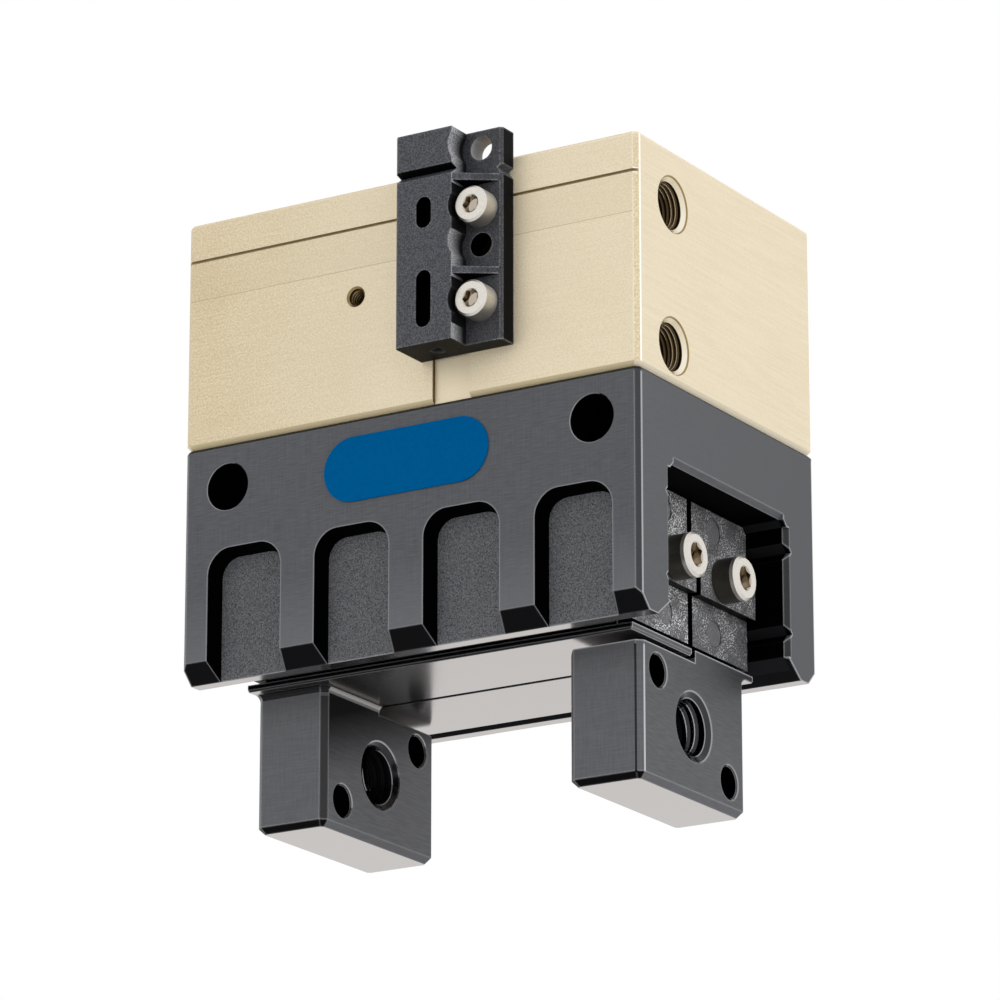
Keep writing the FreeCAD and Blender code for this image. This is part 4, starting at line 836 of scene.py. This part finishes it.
# Painted shade: the side of a head is painted darker below.
under = add("MapRange", {"Value": facing["Z"], "From Min": 0.3, "From Max": -0.9, "To Max": 0.8})
# Painted shade: barrels, grub screw and sockets are painted darker.
for cover, colour in ((any_of(add, barrel, sunk), "#5b5750"), (hexagon, "#b8ae9f"),
                      (all_of(add, satin, under), "#7f7b73")):
    tone = add("Mix", {"Factor": cover, "A": tone, "B": hex_colour(colour)}, data_type="RGBA")
metal = add("MapRange", {"Value": satin, "To Min": 1.0, "To Max": 0.72})
rough = add("MapRange", {"Value": hexagon, "To Min": 0.38, "To Max": 0.12})
skin = add("Bump", {"Height": grain, "Strength": 0.08, "Distance": 0.05 * MM})
shader = add("BsdfPrincipled", {"Base Color": tone, "Metallic": metal, "Roughness": rough, "Normal": skin})
add("OutputMaterial", {"Surface": shader})
print("made", stainless.name, "with", len(stainless.node_tree.nodes), "nodes")

# %% [markdown]
# ## Label film and inner pieces
# The label is a plain blue film with a matt face. The pieces inside the cylinder only show when the
# part is taken apart, but each gets the finish of its own material: a tone that varies with a fine
# grain, and a shallow relief from the same grain. They differ only in numbers, so one function
# makes them all. Their grains, in millimetres, are drawn coarser than real, so that they show.

# %% Plain finishes with a fine grain
def grained(name, low, high, grain_mm, relief, **sockets):
    """A material between two hex tones with a grain; other shader sockets by name, _ for a space."""
    material, add = start_material(name)
    where = surface(add)[0]
    grain = add("TexNoise", {"Vector": where, "Scale": 1 / grain_mm, "Detail": 3.0})
    shade = add("MapRange", {"Value": grain, "From Min": 0.3, "From Max": 0.7})
    tone = add("Mix", {"Factor": shade, "A": hex_colour(low), "B": hex_colour(high)}, data_type="RGBA")
    skin = add("Bump", {"Height": grain, "Strength": relief, "Distance": 0.05 * MM})
    named = {key.replace("_", " "): value for key, value in sockets.items()}
    shader = add("BsdfPrincipled", {"Base Color": tone, "Normal": skin, **named})
    add("OutputMaterial", {"Surface": shader})
    return material


label_film = grained("plain_blue_label_film", "#00558c", "#005a92", 0.6, 0.03, Roughness=0.6,
                     Specular_IOR_Level=0.0)
bare_aluminium = grained("bare_milled_aluminium", "#b4b5b7", "#c6c7c9", 0.4, 0.15, Metallic=1.0,
                         Roughness=0.35)
hardened_steel = grained("hardened_ground_steel", "#84858a", "#97989c", 0.25, 0.1, Metallic=1.0,
                         Roughness=0.3)
bronze = grained("sintered_bronze", "#8a6b3a", "#a6834c", 0.3, 0.2, Metallic=1.0, Roughness=0.45)
nitrile = grained("nitrile_rubber", "#161617", "#222223", 0.5, 0.2, Roughness=0.65)
magnet_plastic = grained("bonded_magnet", "#2a2524", "#3a3331", 0.3, 0.2, Roughness=0.5)
print("made", label_film.name, "and five inner finishes")

# %% [markdown]
# ## Dress the CAD pieces
# Every solid gets its finish by its name in the CAD model. A table of names keeps the choice in one
# place, and a solid that is missing from it would stop the script.

# %% Assign the finishes
FINISHES = {
    "cylinder_body": gold, "guide_housing": black, "front_jaw": jaw_steel, "rear_jaw": jaw_steel,
    "sensor_bracket": bracket_plastic, "label_plate": label_film,
    "bracket_screws": stainless, "bracket_grub_screw": stainless, "housing_screws": stainless,
    "piston_screw": stainless, "locating_dowels": hardened_steel, "wedge_hook": hardened_steel,
    "cylinder_base": bare_aluminium, "piston": bare_aluminium, "rod_bush": bronze,
    "base_seal": nitrile, "rod_seal": nitrile, "piston_seal": nitrile, "piston_magnet": magnet_plastic,
}
for side in ("front", "rear"):
    FINISHES[side + "_jaw_cap_left"] = cap_plastic
    FINISHES[side + "_jaw_cap_right"] = cap_plastic
    FINISHES[side + "_jaw_cap_screws"] = stainless
for name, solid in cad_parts.items():
    solid.data.materials.clear()
    solid.data.materials.append(FINISHES[name])
print("dressed", len(FINISHES), "nodes")

# %% [markdown]
# ## Screw threads
# A thread is a ridge that climbs a helix. Here a small outline of the ridge is drawn at the mouth of
# the hole and spun round the hole's axis while it moves inwards by one pitch a turn, which is what a
# tap does. A bump map would be cheaper, but it leaves the outline of the hole smooth. The ridge stands
# on the wall of the CAD bore, so the hole keeps its size.

# %% Helix ridge helper
STEPS_PER_TURN, MERGE_M = 36, 1e-7
ROOT_OVERLAP, CREST_START, CREST_END = 0.05, 0.42, 0.58


def thread_ridge(name, mouth, inward, radius, pitch, turns, height, body, finish, slot):
    """A helical ridge on a bore's wall; mouth in mm, inward a unit axis, sizes in mm."""
    axis = Vector(inward)
    side = axis.orthogonal().normalized()
    start = Vector(mouth)
    wall, crest = side * (radius + ROOT_OVERLAP), side * (radius - height)
    base = [start + wall, start + crest + axis * pitch * CREST_START,
            start + crest + axis * pitch * CREST_END, start + wall + axis * pitch]
    shape = bmesh.new()
    corners = [shape.verts.new(point * MM) for point in base]
    outline = [shape.edges.new(pair) for pair in zip(corners, corners[1:])]
    steps = int(STEPS_PER_TURN * turns)
    bmesh.ops.spin(shape, geom=corners + outline, cent=start * MM, axis=axis, angle=2 * math.pi * turns,
                   steps=steps, dvec=axis * (pitch * turns / steps * MM))
    bmesh.ops.remove_doubles(shape, verts=shape.verts, dist=MERGE_M)
    bmesh.ops.recalc_face_normals(shape, faces=shape.faces)
    mesh = bpy.data.meshes.new(name)
    shape.to_mesh(mesh)
    shape.free()
    piece = bpy.data.objects.new(name, mesh)
    scene.collection.objects.link(piece)
    mesh.materials.append(finish)
    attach(piece, body)
    return piece


print("ridge steps per turn:", STEPS_PER_TURN)

# %% [markdown]
# ## Ports, fingers and front hole
# The two air ports have a pipe thread, each finger a coarse thread right through, and the hole in the
# front a small one. A ridge starts where the bevelled mouth of its hole ends, and a ridge in a finger
# rides on that jaw.

# %% Five threads
PORT_THREAD = {"radius": 4.57, "pitch": 0.907, "turns": 6, "height": 0.35}
FINGER_THREAD = {"radius": 5.4, "pitch": 1.75, "turns": 7.5, "height": 0.45}
FRONT_THREAD = {"radius": 1.65, "pitch": 0.7, "turns": 8, "height": 0.2}
PORT_START_X, FINGER_START_X, FRONT_START_Y = 49.0, 41.0, -32.6

ridges = [thread_ridge("port_thread_" + name, (PORT_START_X, y, z), (-1, 0, 0), **PORT_THREAD,
                       body="housing", finish=gold, slot="gold_aluminium")
          for name, (_, y, z) in zip(("upper", "lower"), PORTS)]
for name, side, body in (("left", -1, "front_jaw"), ("right", 1, "rear_jaw")):
    _, y, z = FINGER_HOLES[0]
    ridges.append(thread_ridge(name + "_finger_thread", (side * FINGER_START_X, y, z), (-side, 0, 0),
                               **FINGER_THREAD, body=body, finish=jaw_steel, slot="jaw_steel"))
ridges.append(thread_ridge("front_hole_thread", (FRONT_HOLE[0], FRONT_START_Y, FRONT_HOLE[2]),
                           (0, 1, 0), **FRONT_THREAD, body="housing", finish=gold,
                           slot="gold_aluminium"))
print("threads:", [o.name for o in ridges])
